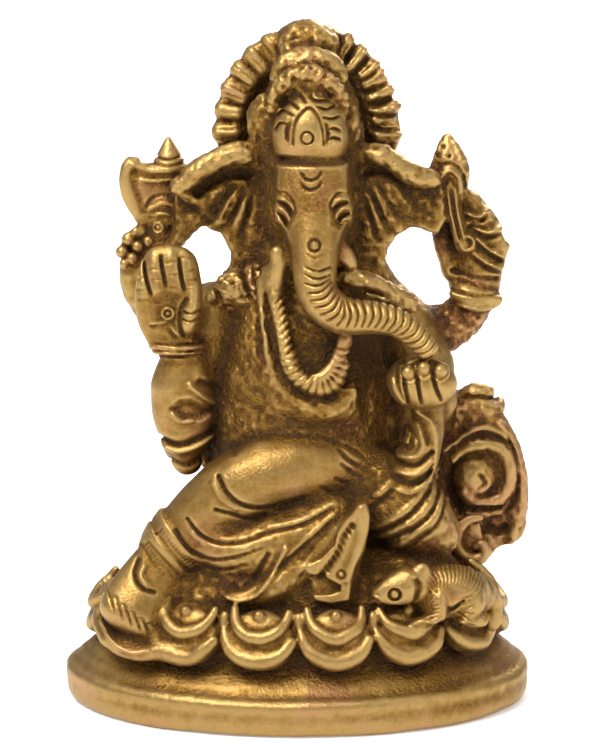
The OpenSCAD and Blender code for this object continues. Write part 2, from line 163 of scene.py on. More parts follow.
def through(points, per=5):
    """Points close together on a smooth curve through the given ones."""
    p = np.asarray(points, float)
    if len(p) < 3:
        return p
    ends = np.vstack([2 * p[0] - p[1], p, 2 * p[-1] - p[-2]])
    curve = []
    for i in range(len(p) - 1):
        a, b, c, d = ends[i : i + 4]
        for t in np.arange(per) / per:
            cubic = 3 * b - a - 3 * c + d
            curve.append(b + 0.5 * t * (c - a + t * (2 * a - 5 * b + 4 * c - d + t * cubic)))
    return np.vstack([curve, p[-1:]])


class Clay:
    """One piece's shape: the distance to its surface at each point of a grid, negative inside."""

    def __init__(self, node, voxel=FINE, smooth=0.3, base=True, room=ROOM, grow=0.0):
        lo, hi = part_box(node)
        lo = (np.array(lo) - ORIGIN) / UNIT - room
        hi = (np.array(hi) - ORIGIN) / UNIT + room
        self.node, self.voxel, self.stains, self.fillet = node, voxel, [], FILLET
        self.first = np.floor(lo / voxel).astype(int)
        count = np.ceil(hi / voxel).astype(int) - self.first + 1
        self.axes = [(self.first[a] + np.arange(count[a])) * voxel for a in range(3)]
        self.field = np.full(count, FAR, np.float32)
        if base:
            self.field = blurred(self.solid(count), smooth / voxel) - np.float32(grow)

    def solid(self, count):
        """The CAD node's own solid as a field."""
        mesh = frame["nodes"][self.node].data
        mesh.calc_loop_triangles()
        points = np.zeros(len(mesh.vertices) * 3, np.float32)
        mesh.vertices.foreach_get("co", points)
        points = ((points.reshape(-1, 3) - ORIGIN) / UNIT).astype(np.float32)
        corners = np.zeros(len(mesh.loop_triangles) * 3, np.int32)
        mesh.loop_triangles.foreach_get("vertices", corners)
        grid = openvdb.FloatGrid.createLevelSetFromPolygons(
            points,
            triangles=corners.reshape(-1, 3).astype(np.uint32),
            transform=openvdb.createLinearTransform(voxelSize=self.voxel),
            halfWidth=FAR / self.voxel,
        )
        field = np.zeros(count, np.float32)
        grid.copyToArray(field, ijk=tuple(int(i) for i in self.first))
        return field

    def block(self, lo, hi):
        """The part of the grid from lo to hi: its slices and its x, y and z, or None if it has none."""
        cuts, places = [], []
        for a in range(3):
            i = max(0, int(np.searchsorted(self.axes[a], lo[a])))
            j = min(len(self.axes[a]), int(np.searchsorted(self.axes[a], hi[a])) + 1)
            if j <= i:
                return None
            cuts.append(slice(i, j))
            shape = [1, 1, 1]
            shape[a] = j - i
            places.append(self.axes[a][i:j].reshape(shape).astype(np.float32))
        return tuple(cuts), places

    def merge(self, cuts, other, blend, cut=False):
        here = self.field[cuts]
        if cut:
            self.field[cuts] = -soft_min(-here, other, blend)
        else:
            self.field[cuts] = soft_min(here, other, blend)

    def rod(self, points, blend=0.3, cut=False, flat=1.0, per=5):
        """A bent round bar. Each point is x, y, z and the bar's radius there; flat presses it along y."""
        curve = through(points, per)
        reach = curve[:, 3].max() + blend + MARGIN
        span = self.block(curve[:, :3].min(0) - reach, curve[:, :3].max(0) + reach)
        if span is None:
            return self
        cuts, (x, y, z) = span
        near = np.full([c.stop - c.start for c in cuts], FAR, np.float32)
        for a, b in zip(curve[:-1], curve[1:]):
            lo, hi = np.minimum(a, b)[:3] - reach, np.maximum(a, b)[:3] + reach
            local = self.block(lo, hi)
            if local is None:
                continue
            part, (px, py, pz) = local
            d = b[:3] - a[:3]
            length = float(d @ d) + 1e-9
            t = np.clip(((px - a[0]) * d[0] + (py - a[1]) * d[1] + (pz - a[2]) * d[2]) / length, 0, 1)
            gx, gy, gz = px - a[0] - t * d[0], (py - a[1] - t * d[1]) / flat, pz - a[2] - t * d[2]
            dist = np.sqrt(gx**2 + gy**2 + gz**2) - (a[3] + t * (b[3] - a[3]))
            inner = tuple(slice(p.start - c.start, p.stop - c.start) for p, c in zip(part, cuts))
            near[inner] = np.minimum(near[inner], dist)
        self.merge(cuts, near, blend, cut)
        return self

    def ball(self, centre, size, blend=0.3, cut=False):
        """An ellipsoid of half sizes x, y and z."""
        size = np.broadcast_to(np.asarray(size, float), 3)
        reach = size.max() + blend + MARGIN
        span = self.block(np.array(centre) - reach, np.array(centre) + reach)
        if span is None:
            return self
        cuts, (x, y, z) = span
        x, y, z = x - centre[0], y - centre[1], z - centre[2]
        k0 = np.sqrt((x / size[0]) ** 2 + (y / size[1]) ** 2 + (z / size[2]) ** 2)
        k1 = np.sqrt((x / size[0] ** 2) ** 2 + (y / size[1] ** 2) ** 2 + (z / size[2] ** 2) ** 2)
        self.merge(cuts, (k0 * (k0 - 1) / np.maximum(k1, 1e-6)).astype(np.float32), blend, cut)
        return self

    def plate(self, outline, front, back, blend=0.3):
        """A flat shape cut to an outline of x, z points, from y front to y back, with rounded edges."""
        outline = np.asarray(outline, float)
        reach = blend + PLATE_EDGE + MARGIN
        lo = np.array([outline[:, 0].min() - reach, front - reach, outline[:, 1].min() - reach])
        hi = np.array([outline[:, 0].max() + reach, back + reach, outline[:, 1].max() + reach])
        span = self.block(lo, hi)
        if span is None:
            return self
        cuts, (x, y, z) = span
        side = outline_distance(outline, x[:, :, 0], z[:, 0, :])[:, None, :] + PLATE_EDGE
        deep = np.maximum(front - y, y - back) + PLATE_EDGE
        corner = np.hypot(np.maximum(side, 0), np.maximum(deep, 0))
        dist = np.minimum(np.maximum(side, deep), 0) + corner - PLATE_EDGE
        self.merge(cuts, dist.astype(np.float32), blend)
        return self

    def stain(self, *spots):
        """Darkens the colour round (x, y, z, reach, amount) spots, some of them patina and some painted
        shade; a negative amount brightens it.
        """
        self.stains += [(np.array(spot[:3]), spot[3], spot[4]) for spot in spots]
        return self

    def sleeve(self, other, centre, axis, half, thick, reach, blend=0.25):
        """A band round another piece: its skin made thicker, out to half each way along axis from centre."""
        there = regrid(other.field, other.axes, self.axes, FAR) - np.float32(thick)
        gaps = [(self.axes[a] - centre[a]).reshape([-1 if a == b else 1 for b in range(3)]) for a in range(3)]
        along = np.abs(sum(g * n for g, n in zip(gaps, axis))) - half
        round_it = np.sqrt(sum(g * g for g in gaps)) - reach
        band = -soft_min(-there, -np.maximum(along, round_it).astype(np.float32), blend)
        self.field = soft_min(self.field, band, blend)
        return self

    def lumps(self, size, height, seed=0, where=None):
        """Uneven cast skin: smooth seeded lumps of that size and height."""
        rng = np.random.default_rng(SEED * 1000 + sum(map(ord, self.node)) + seed)
        count = [int(len(a) * self.voxel / size) + 3 for a in self.axes]
        coarse = rng.uniform(-1, 1, count).astype(np.float32)
        old = [self.axes[a][0] + np.arange(count[a]) * size for a in range(3)]
        bumps = regrid(coarse, old, self.axes, 0.0) * np.float32(height)
        self.field += bumps if where is None else bumps * where
        return self

    def quads(self):
        """The surface as points in statue millimetres and four-cornered faces facing out."""
        grid = openvdb.FloatGrid(FAR)
        grid.transform = openvdb.createLinearTransform(voxelSize=self.voxel)
        grid.copyFromArray(np.clip(self.field, -FAR, FAR), ijk=tuple(int(i) for i in self.first))
        points, quads = grid.convertToQuads(isovalue=0.0)
        points, quads = points.astype(float), quads.astype(np.int64)
        points, quads = without_floaters(points, quads)
        a, b, c, d = (points[quads[:, i]] for i in range(4))
        volume = np.einsum("ij,ij->", a, np.cross(b - a, d - a)) + np.einsum("ij,ij->", c,
                                                                             np.cross(d - c, b - c))
        if volume < 0:
            quads = quads[:, ::-1]
        return points, quads


def outline_distance(outline, x, z):
    """The signed distance from an outline's edge on a sheet, negative inside."""
    x, z = np.broadcast_arrays(x, z)
    near = np.full(x.shape, 1e9)
    inside = np.zeros(x.shape, bool)
    for (ax, az), (bx, bz) in zip(outline, np.roll(outline, -1, axis=0)):
        dx, dz = bx - ax, bz - az
        t = np.clip(((x - ax) * dx + (z - az) * dz) / (dx * dx + dz * dz + 1e-12), 0, 1)
        near = np.minimum(near, np.hypot(x - ax - t * dx, z - az - t * dz))
        if az != bz:
            inside ^= ((az > z) != (bz > z)) & (x < ax + (z - az) * dx / dz)
    return np.where(inside, -near, near)


def without_floaters(points, quads):
    """The same mesh with its small loose parts left out."""
    label = np.arange(len(points))
    while True:
        low = label[quads].min(1)
        fresh = label.copy()
        for i in range(4):
            np.minimum.at(fresh, quads[:, i], low)
        fresh = fresh[fresh]
        if (fresh == label).all():
            break
        label = fresh
    kept = np.bincount(label, minlength=len(points))[label] >= FLOATER
    renumber = np.cumsum(kept) - 1
    return points[kept], renumber[quads[kept[quads[:, 0]]]]


# the sheet's two axes, the axis across it and which way is out of it
SIDES = {"front": (0, 2, 1, 1), "back": (0, 2, 1, -1), "left": (1, 2, 0, -1), "right": (1, 2, 0, 1)}


class Relief:
    """Raised and sunk marks on the side of a piece that faces one way, drawn on a flat sheet."""

    def __init__(self, clay, side="front"):
        self.clay, self.side = clay, side
        self.u, self.v = clay.axes[SIDES[side][0]], clay.axes[SIDES[side][1]]
        self.up = np.zeros((len(self.u), len(self.v)), np.float32)
        self.down = np.zeros_like(self.up)

    def mark(self, a, b, width, height, ends=(1.0, 1.0)):
        """One straight stroke with a rounded profile; a negative height sinks it."""
        reach = 2.6 * width
        i = slice(*np.searchsorted(self.u, [min(a[0], b[0]) - reach, max(a[0], b[0]) + reach]))
        j = slice(*np.searchsorted(self.v, [min(a[1], b[1]) - reach, max(a[1], b[1]) + reach]))
        u, v = self.u[i][:, None], self.v[j][None, :]
        du, dv = b[0] - a[0], b[1] - a[1]
        t = np.clip(((u - a[0]) * du + (v - a[1]) * dv) / (du * du + dv * dv + 1e-9), 0, 1)
        gap = (u - a[0] - t * du) ** 2 + (v - a[1] - t * dv) ** 2
        size = ends[0] + t * (ends[1] - ends[0])
        sheet = self.up if height > 0 else self.down
        sheet[i, j] = np.maximum(sheet[i, j], abs(height) * size * np.exp(-gap / width**2))

    def line(self, points, width, height, taper=0.0, per=5):
        """A stroke along a smooth curve, thinning to 1 - taper of its height at both ends."""
        curve = through(points, per)
        t = np.linspace(0, 1, len(curve))
        size = 1 - taper * np.abs(2 * t - 1) ** 3
        for i in range(len(curve) - 1):
            self.mark(curve[i], curve[i + 1], width, height, (size[i], size[i + 1]))
        return self

    def lines(self, paths, width, height, taper=0.0):
        for path in paths:
            self.line(path, width, height, taper)
        return self

    def pleats(self, paths, ridge, groove, shift):
        """Cloth folds: a raised line on each path and a sunk one shifted beside it."""
        for path in paths:
            self.line(path, *ridge).line([(u + shift[0], v + shift[1]) for u, v in path], *groove)
        return self

    def arc(self, centre, radius, start, end, width, height):
        """Part of a circle, in degrees from +u towards +v."""
        turns = np.radians(np.linspace(start, end, max(4, int(abs(end - start) / 18) + 2)))
        points = np.stack([centre[0] + radius * np.cos(turns), centre[1] + radius * np.sin(turns)], 1)
        return self.line(points, width, height, per=2)

    def ribs(self, path, count, span, width, height, slant=0.0, bend=0.0):
        """Short strokes across a path, evenly spaced, from span[0] to span[1] to the left of its line."""
        curve = through(path, 12)
        steps = np.linalg.norm(np.diff(curve, axis=0), axis=1)
        length = np.concatenate([[0], np.cumsum(steps)])
        for s in (np.arange(count) + 0.5) / count * length[-1]:
            i = min(int(np.searchsorted(length, s, side="right")) - 1, len(steps) - 1)
            ahead = (curve[i + 1] - curve[i]) / steps[i]
            here = curve[i] + ahead * (s - length[i])
            a = math.radians(slant)
            side = np.array([-ahead[1], ahead[0]]) * math.cos(a) + ahead * math.sin(a)
            middle = here + side * (span[0] + span[1]) / 2 + ahead * bend
            across = [here + side * span[0], middle, here + side * span[1]]
            self.line(across, width, height, RIB_TAPER, per=4)
        return self

    def dot(self, centre, radius, height):
        self.mark(centre, centre, radius, height)
        return self

    def area(self, outline, height, soft):
        """A patch inside an outline, raised or sunk with soft edges."""
        gap = outline_distance(np.asarray(outline, float), self.u[:, None], self.v[None, :])
        sheet = self.up if height > 0 else self.down
        np.maximum(sheet, abs(height) * np.clip(0.5 - gap / (2 * soft), 0, 1), out=sheet)
        return self

    def press(self, edge=None):
        """Works the marks into the clay, on the near side of the plane at edge."""
        u, v, depth, sign = SIDES[self.side]
        shape = [1, 1, 1]
        shape[u], shape[v] = len(self.u), len(self.v)
        rise = (self.up - CARVED * self.down).reshape(shape)
        if edge is not None:
            shape = [1, 1, 1]
            shape[depth] = -1
            across = self.clay.axes[depth].reshape(shape)
            rise = rise * np.clip(0.5 + sign * (edge - across) / EDGE_FADE, 0, 1).astype(np.float32)
        self.clay.field -= rise.astype(np.float32)
        return self.clay


# Pieces ------------------------------------------------------------------------------------------

PIECES = []


def piece(voxel=FINE, smooth=0.3, slot="aged_brass", polish=0.0, **grid):
    """Marks a function as the work on its node's clay; polish is how much more than usual it is rubbed."""

    def add(work):
        PIECES.append((work, voxel, smooth, grid, slot, polish))
        return work

    return add


def level(points, y):
    """Points x, z and radius for a rod that lies all at one depth."""
    return [(x, y, z, r) for x, z, r in points]


# The head


EYE_RIGHT = [(-2.3, 58.7), (-1.2, 58.5), (-0.5, 57.6), (-0.3, 56.6), (-1.1, 54.9), (-1.9, 55.6)]
EYE_LEFT = [(3.6, 57.5), (4.4, 58.5), (5.4, 58.4), (5.8, 57.5), (5.4, 55.8), (4.6, 54.9), (3.8, 55.3)]
FACE_EDGE = [
    (-2.3, 61.5), (-2.4, 58.5), (-2.2, 55.8), (-1.5, 54.6), (-0.7, 53), (0, 50.2),
    (3.9, 50.2), (4.3, 53), (5.1, 54.6), (5.9, 56.3), (5.9, 57.6), (5.6, 58.8), (5.5, 61.5),
]


@piece(FACE, 0.3, polish=-0.1)
def head(clay):
    face = Relief(clay).area(FACE_EDGE, 0.45, 0.2).area(EYE_RIGHT, -1.0, 0.3).area(EYE_LEFT, -1.0, 0.3)
    face.line([(0.4, 60.9), (0.8, 60.2), (1.5, 60), (2.2, 60.3), (2.6, 60.9)], 0.17, -0.4, 0.6)
    face.line([(0.3, 59.8), (0.8, 59.2), (1.5, 59), (2.2, 59.3), (2.6, 59.8)], 0.17, -0.4, 0.6)
    face.line([(-2.3, 61.3), (5.5, 61.3)], 0.2, 0.25)
    face.press(-4.5)
    cheeks = np.clip(np.abs(clay.axes[0] - 1.7) - 3.6, 0, 1)[:, None, None]
    clay.lumps(0.5, 0.16, where=cheeks)


@piece(FACE, 0.2, polish=0.3)
def eye_right(clay):
    lids = Relief(clay).line([(-2.2, 58.1), (-1.2, 57.8), (-0.5, 57), (-0.3, 55.9)], 0.3, 0.6, 0.4)
    lids.line([(-2.2, 57), (-1.5, 56.7), (-0.9, 55.9), (-0.8, 55)], 0.34, 0.75, 0.4)
    lids.line([(-2, 55.6), (-1.5, 55.1), (-1.2, 54.4)], 0.28, 0.5, 0.4)
    lids.line([(-2.1, 57.6), (-1.3, 57.2), (-0.7, 56.4)], 0.16, -0.6, 0.4)
    lids.line([(-2.1, 56.3), (-1.6, 55.9), (-1.2, 55.1)], 0.16, -0.6)
    lids.press()


@piece(FACE, 0.2, polish=0.3)
def eye_left(clay):
    lids = Relief(clay).line([(3.5, 56.1), (3.8, 57.2), (4.5, 57.9), (5.5, 58)], 0.3, 0.6, 0.4)
    lids.line([(3.9, 55.3), (4.3, 56.3), (4.9, 56.9), (5.7, 57)], 0.34, 0.75, 0.4)
    lids.line([(4.3, 54.8), (5, 55.6), (5.7, 55.8)], 0.28, 0.5, 0.4)
    lids.line([(3.7, 55.9), (4.2, 57), (5.4, 57.5)], 0.16, -0.6, 0.4)
    lids.line([(4.2, 55.1), (4.8, 56), (5.6, 56.3)], 0.16, -0.6)
    lids.press()


TRUNK_PATH = [(1.85, 51.2), (1.95, 48.6), (4.1, 45.7), (7.8, 45.45), (11.1, 44.6), (13.3, 42.5), (14.4, 41)]


@piece(FACE, 0.25, room=2.0)
def trunk(clay):
    clay.rod([(1.7, -6.7, 60, 1.7), (1.7, -6.9, 57, 1.95), (1.8, -7.3, 55, 2.5), (1.85, -8, 52.5, 2.4),
              (1.9, -9, 50, 1.9)], 0.9, flat=0.75)
    skin = Relief(clay).dot((1.85, 53.1), 0.34, 0.4).arc((1.85, 53.1), 0.62, 0, 360, 0.15, -0.35)
    skin.line([(1.1, 52.1), (1.9, 51.8), (2.7, 52.1)], 0.13, -0.22, 0.5)
    skin.ribs(TRUNK_PATH, 23, (-1.0, 1.75), 0.13, -0.36, bend=0.4)
    skin.line([(12.2, 41.6), (13, 41.2), (13.9, 40.3)], 0.15, -0.3)
    skin.line([(13.2, 40.8), (14.2, 40)], 0.15, -0.3)
    skin.press(-5.0)


@piece(FACE, 0.2, polish=0.1)
def tusk_right(clay):
    clay.ball((-2.2, -7.6, 52), (0.8, 0.7, 0.8), 0.5)


@piece(FACE, 0.2, slot="coppery_brass", polish=0.08)
def tusk_left(clay):
    """Only its fillets are added."""


def fan(clay, flutes, creases):
    """An ear's spread: soft ridges that run down and out, with creases sunk between them."""
    for flute in flutes:
        clay.rod(flute, 0.7)
    Relief(clay).lines(creases, 0.28, -0.5, 0.6).press(0)
    clay.lumps(0.5, 0.14).lumps(1.4, 0.14, 1)


@piece(FINE, 0.3, room=1.8, polish=-0.08)
def ear_right(clay):
    clay.rod([(-13.6, -0.6, 52.3, 0.9), (-12.9, -0.9, 53.6, 1.1), (-11.6, -1.3, 55.2, 1.1)], 0.5)
    clay.rod([(-4.6, -1.8, 61.3, 0.7), (-5.4, -3, 62.2, 0.9), (-7.6, -3.3, 62.1, 1), (-9.4, -3.3, 61.4, 1.05),
              (-11.2, -3.2, 60.3, 1.1), (-12.9, -3, 58.9, 1)], 0.4)
    clay.rod([(-12.9, -2.9, 58.7, 0.8), (-12, -2.6, 57.5, 0.6), (-10.7, -2.4, 57, 0.4)], 0.4)
    clay.rod([(-5.6, -1.6, 60.1, 0.6), (-7.5, -2.2, 60, 0.75), (-9.4, -2.2, 59.3, 0.8), (-11, -2.2, 58, 0.6)],
             0.4, cut=True)
    clay.stain((-7.4, -2.4, 57.3, 3, 0.28), (-12, -2, 55, 3, 0.3), (-8.6, -3, 59.6, 1.4, 0.2),
               (-9, -3.6, 62, 2.6, -0.12))
    flutes = [
        [(-7.2, -1.6, 59.3, 0.4), (-8.6, -1.9, 58.3, 0.85), (-9.8, -1.8, 56.9, 0.9),
         (-10.9, -1.5, 55.4, 0.5)],
        [(-6.2, -1.6, 59, 0.4), (-7.2, -1.9, 57.6, 0.8), (-8.2, -1.9, 56, 0.85), (-9.3, -1.6, 54.3, 0.5)],
        [(-5.4, -1.6, 58.2, 0.35), (-6, -1.9, 56.8, 0.7), (-6.6, -1.8, 55.2, 0.75), (-7.6, -1.6, 53.2, 0.45)],
        [(-4.6, -1.6, 57.4, 0.3), (-4.8, -1.8, 56, 0.5), (-5.2, -1.6, 54, 0.5)],
    ]
    fan(clay, flutes, [[(-7, 58.6), (-7.9, 57.4), (-9, 55.6), (-9.9, 54.6)],
                       [(-5.9, 58), (-6.6, 56.5), (-7.6, 54.4)], [(-5.1, 57.6), (-5.4, 56), (-6, 54)],
                       [(-8.6, 58), (-9.6, 56.6)], [(-7.2, 57.2), (-8.1, 55.4)]])


@piece(FINE, 0.3, polish=-0.06)
def ear_left(clay):
    clay.rod([(7.4, -2.5, 62.3, 0.7), (8.6, -3.2, 62.2, 0.9), (10.3, -3.3, 61.7, 0.95), (11.8, -3.2, 60.6, 1),
              (13.2, -3, 59.7, 0.95), (14.9, -2.8, 59.5, 0.85)], 0.35)
    clay.rod([(7.6, -1.8, 60.2, 0.6), (9.6, -2.2, 60.1, 0.7), (11.2, -2.2, 59, 0.7)], 0.4, cut=True)
    clay.stain((9.6, -2.4, 57, 3, 0.22), (14.4, -2, 56.4, 3, 0.2), (10, -3, 60, 1.4, 0.2),
               (11, -3.6, 61.6, 2.6, -0.1))
    flutes = [
        [(8.9, -1.6, 60, 0.4), (10.1, -1.9, 58.9, 0.85), (11.2, -1.9, 57.3, 0.9), (12.4, -1.5, 55.6, 0.5)],
        [(8.2, -1.6, 59.2, 0.4), (9.2, -1.9, 57.8, 0.8), (10.1, -1.9, 56, 0.85), (11.2, -1.6, 54.2, 0.5)],
        [(7.5, -1.6, 58.4, 0.35), (8.1, -1.8, 57, 0.7), (8.8, -1.8, 55, 0.75), (9.8, -1.5, 53, 0.45)],
        [(7.1, -1.6, 57, 0.3), (7.4, -1.7, 55.4, 0.5), (8, -1.6, 53.4, 0.45)],
    ]
    fan(clay, flutes, [[(8.8, 59), (9.8, 57.4), (10.9, 55.4)], [(8, 58.4), (8.8, 56.6), (9.8, 54.2)],
                       [(7.5, 57.4), (8, 55.6), (8.6, 53.8)], [(10.4, 58.6), (11.4, 56.8)],
                       [(9.3, 57.6), (10.2, 55.6)]])


# The crown and halo


@piece(FINE, 0.35, polish=-0.1)
def crown_core(clay):
    clay.ball((5.6, -2.6, 65.4), (1.3, 1.3, 2.4), 1.2).ball((-3.6, -1.6, 66), (2, 1.6, 3), 1.6)
    clay.ball((1.3, -4, 69.6), (2.6, 1, 1.6), 0.6).ball((1.3, -2.4, 71.6), (3.6, 1.4, 2.4), 0.6)
    clay.stain((-4.4, 0, 69.6, 2.2, 0.4), (6.5, -1, 68.5, 3, 0.1), (1, -5, 71.4, 2, -0.2))
    clay.lumps(0.5, 0.2).lumps(1.1, 0.2, 1)


@piece(FACE, 0.25, polish=0.12)
def crown_plaque(clay):
    skin = Relief(clay).arc((1.05, 64.5), 0.66, 0, 360, 0.13, -0.4)
    skin.line([(-0.5, 63.8), (-0.4, 65.7), (0.3, 67), (1.3, 67.7), (2.1, 67), (2.7, 65.6), (2.9, 63.8)],
              0.15, -0.42)
    skin.line([(-1.1, 64.2), (-1.1, 65.4), (-0.8, 66.1)], 0.26, -0.7, 0.4)
    skin.line([(3.1, 66.1), (3.3, 65), (3.2, 64)], 0.24, -0.6, 0.4)
    commas = [
        [(-2.4, 65.2), (-1.8, 66), (-0.6, 65.8)], [(-2.1, 66.8), (-1.5, 67.3), (-0.5, 66.9)],
        [(-1.6, 67.7), (-0.8, 68.2), (0.1, 67.6)], [(-0.6, 68.6), (0.2, 69), (0.9, 68.3)],
        [(0.8, 69.5), (1.4, 69.5), (1.5, 68.9)], [(1.4, 68.8), (2.1, 68.4), (3.3, 68.4)],
        [(2.2, 67.8), (3.1, 67.5), (4, 67.8)], [(2.7, 66.7), (3.7, 66.5), (4.5, 66.7)],
        [(3.2, 65.3), (3.9, 65.5), (4.6, 65.2)], [(3.3, 64.2), (3.8, 64.5), (4.6, 64.3)],
    ]
    skin.lines(commas, 0.15, -0.55, 0.4)
    skin.press(-4.0)


@piece(FACE, base=False, polish=-0.04)
def crown_band_lower(clay):
    arch = [(-2.9, 67.4, 0.5), (-2.4, 69, 0.75), (-1.5, 70.2, 0.95), (-0.4, 71, 1), (1.2, 71.3, 1),
            (2.8, 70.8, 1), (4, 69.8, 0.9), (4.8, 68.5, 0.7), (5.1, 67.2, 0.5)]
    clay.rod(level(arch, -4.4), 0.3).stain((-3.2, -5, 67, 2.4, 0.25), (5.2, -5, 67, 2.4, 0.25))
    Relief(clay).ribs([(x, z) for x, z, _ in arch], 15, (-0.9, 0.9), 0.14, -0.14, slant=20).press()
    clay.lumps(0.5, 0.22).lumps(1.2, 0.15, 1)


@piece(FACE, base=False, polish=-0.04)
def crown_band_upper(clay):
    arch = [(-2.3, 70.8, 0.6), (-1.5, 72.1, 0.8), (0.2, 72.9, 0.9), (2.2, 72.8, 0.9), (3.8, 72, 0.8),
            (4.9, 70.7, 0.6)]
    clay.rod(level(arch, -2.7), 0.3)
    clay.fillet = 1.6
    clay.lumps(0.5, 0.2).lumps(1.2, 0.15, 1)


@piece(FINE, 0.3, polish=-0.04)
def crown_finial(clay):
    clay.rod([(-1.3, -1.4, 73.7, 0.5), (0.2, -1.8, 74.4, 0.55), (2, -1.6, 74.2, 0.5)], 0.4)
    clay.rod([(-0.6, -2.2, 74.3, 0.3), (1.2, -2.4, 74.7, 0.45), (2.6, -2.2, 74.2, 0.3)], 0.3, cut=True)
    clay.lumps(0.5, 0.18).lumps(1, 0.28, 1)


@piece(FINE, 0.3, grow=0.35, polish=-0.12)
def halo_plate(clay):
    clay.rod([(2.6, -0.6, 76, 0.5), (4.4, -0.9, 74, 0.7), (5.6, -0.9, 71, 0.8), (7.4, -0.7, 68, 0.8),
              (9, -0.4, 65.4, 0.6)], 0.6)
    clay.stain((-4, 0, 70, 2.6, 0.4)).lumps(0.5, 0.18).lumps(1.2, 0.15, 1)


@piece(FINE, 0.25, grow=0.16, polish=0.06)
def halo_rays(clay):
    right = [(3.6, 74.6), (6.2, 73.1), (8.3, 71.2), (9.6, 69), (10.2, 66.6), (10.2, 64)]
    left = [(-7.6, 63.4), (-7.7, 66.2), (-7.2, 69), (-5.6, 71.7), (-3, 74.2), (-1.4, 75)]
    skin = Relief(clay).ribs(right, 8, (-1.9, 1.9), 0.34, -1.0, bend=0.2)
    skin.ribs(right, 17, (-1.9, 1.9), 0.13, -0.3)
    skin.ribs(left, 15, (-1.6, 1.6), 0.13, -0.2).press(3)
    ragged = np.clip((clay.axes[0] + 1) / 3, 0.25, 1)[:, None, None]
    clay.lumps(0.5, 0.14, 0, ragged).lumps(1.3, 0.24, 1, ragged)


# The body and what lies on it


@piece(MEDIUM, 0.8, polish=-0.06)
def torso(clay):
    clay.ball((-10, 0.5, 30), (1.6, 2.4, 4), 0.8).ball((10, 0.5, 39.5), (2.2, 2.4, 4), 0.8)
    clay.ball((11.4, 0.5, 33.6), (2, 2.4, 3), 0.8)
    cloth = Relief(clay, "back")
    for i in range(5):
        x = -7.5 + 3.6 * i
        cloth.line([(x, 50 - abs(x) * 0.3), (x + 0.8, 42), (x - 0.6, 34), (x + 0.4, 26)], 0.6, 0.3, 0.8)
    cloth.line([(-10, 46), (-3, 41), (5, 37), (11, 30)], 0.5, 0.45)
    cloth.line([(-10, 44.8), (-3, 39.8), (5, 35.8), (11, 28.8)], 0.3, -0.4)
    cloth.press(2.0)
    skin = Relief(clay).line([(-4.6, 48.5), (-4, 44.5), (-3.6, 40), (-2.8, 36.4), (-1, 34), (3, 33.2),
                              (7, 34.4), (7.6, 38)], 0.7, -0.5)
    skin.line([(-1.2, 48), (-0.4, 45.3), (0.6, 43.6)], 0.5, -0.35)
    skin.press(-2.0)
    # painted shadow: the first spot darkens the chest on the viewer's right, between the garland and the
    # trunk, where shade falls
    clay.stain((7.2, -6, 41.5, 3.4, 0.8), (2.2, -8, 41.5, 1.8, 0.3), (-9, -4, 36, 2.5, 0.15))
    clay.lumps(0.5, 0.14).lumps(1.8, 0.2, 1)


@piece(FINE, 0.3, polish=0.2)
def shoulder_ornament(clay):
    clay.ball((-9.4, -3.4, 46.8), 0.45, 0.1).ball((-7, -3.4, 47.4), (1.9, 1, 1.7), 0.5)
    Relief(clay).line([(-6, 49.2), (-5.7, 48), (-5.2, 46.6)], 0.24, -0.8).press()
    clay.lumps(0.5, 0.34).lumps(0.9, 0.15, 1)


@piece(FINE, 0.3, polish=0.14)
def shoulder_roll(clay):
    Relief(clay).line([(6, 47.7), (7.4, 47.8), (8.6, 47.5), (9.6, 47.1)], 0.3, -1.0, 0.5).press()
    clay.lumps(0.5, 0.2)


GARLAND_FALL = [(-2, 47.4), (-1.5, 45.4), (-1, 43), (-0.7, 41)]
GARLAND_LOOP = [(-0.7, 41), (-0.2, 39), (1.1, 37.7), (2.7, 37.3), (4.2, 38), (5.1, 39.7), (5.3, 42)]


@piece(FACE, 0.15, polish=0.08)
def garland(clay):
    clay.rod([(-0.8, -8.1, 41, 0.75), (-0.2, -8.8, 39, 0.85), (1.1, -9, 37.7, 0.9), (2.7, -9, 37.3, 0.9),
              (4.2, -8.8, 38, 0.85), (5.1, -8.6, 39.7, 0.75)], 0.3)
    skin = Relief(clay).ribs(GARLAND_FALL, 8, (-0.95, 0.95), 0.2, -0.5, slant=-35)
    skin.ribs(GARLAND_LOOP, 15, (-1.1, 1.1), 0.15, -0.32)
    skin.press()
    clay.lumps(0.5, 0.08)


@piece(FINE, 0.3, grow=-0.25, polish=-0.14)
def sash(clay):
    clay.fillet = 2.0
    clay.rod([(-3.4, -7.6, 39, 0.5), (-2.7, -7.7, 36.8, 0.7), (-1.9, -7.9, 35.4, 0.9), (0.4, -8, 34.7, 1),
              (3, -8, 34.6, 1.1), (5, -7.6, 34.7, 1.2), (6.3, -7.1, 34.4, 0.8)], 0.6)
    clay.ball((5.3, -7.6, 35.7), (1.3, 1.1, 1.5), 0.8).ball((7.7, -6.6, 38.6), (1.9, 3, 2.6), 0.5, cut=True)
    clay.lumps(0.5, 0.12)


# The arms and hands


@piece(FINE, 0.4, polish=-0.04)
def arm_rear_right(clay):
    clay.lumps(0.7, 0.12)


@piece(FACE, 0.35, grow=-0.25, polish=-0.2)
def hand_rear_right(clay):
    for x, z, r in ((-17.6, 53.5, 0.75), (-18.9, 52.6, 0.75), (-17.9, 51.9, 0.7), (-19.6, 51.3, 0.72),
                    (-18.5, 50.6, 0.68), (-19.3, 50, 0.6), (-16.7, 52.5, 0.65)):
        clay.ball((x, -1.2 + 0.25 * (z - 51), z), r, 0.12)


@piece(FACE, 0.25)
def axe_handle(clay):
    skin = Relief(clay).arc((-15.6, 54), 0.55, 0, 360, 0.15, 0.35).dot((-15.6, 54), 0.3, 0.3)
    skin.line([(-16.4, 55.3), (-15.2, 55.6), (-14, 55.4)], 0.22, 0.4)
    skin.line([(-16.2, 52.6), (-14.4, 52.6)], 0.2, -0.3).press()


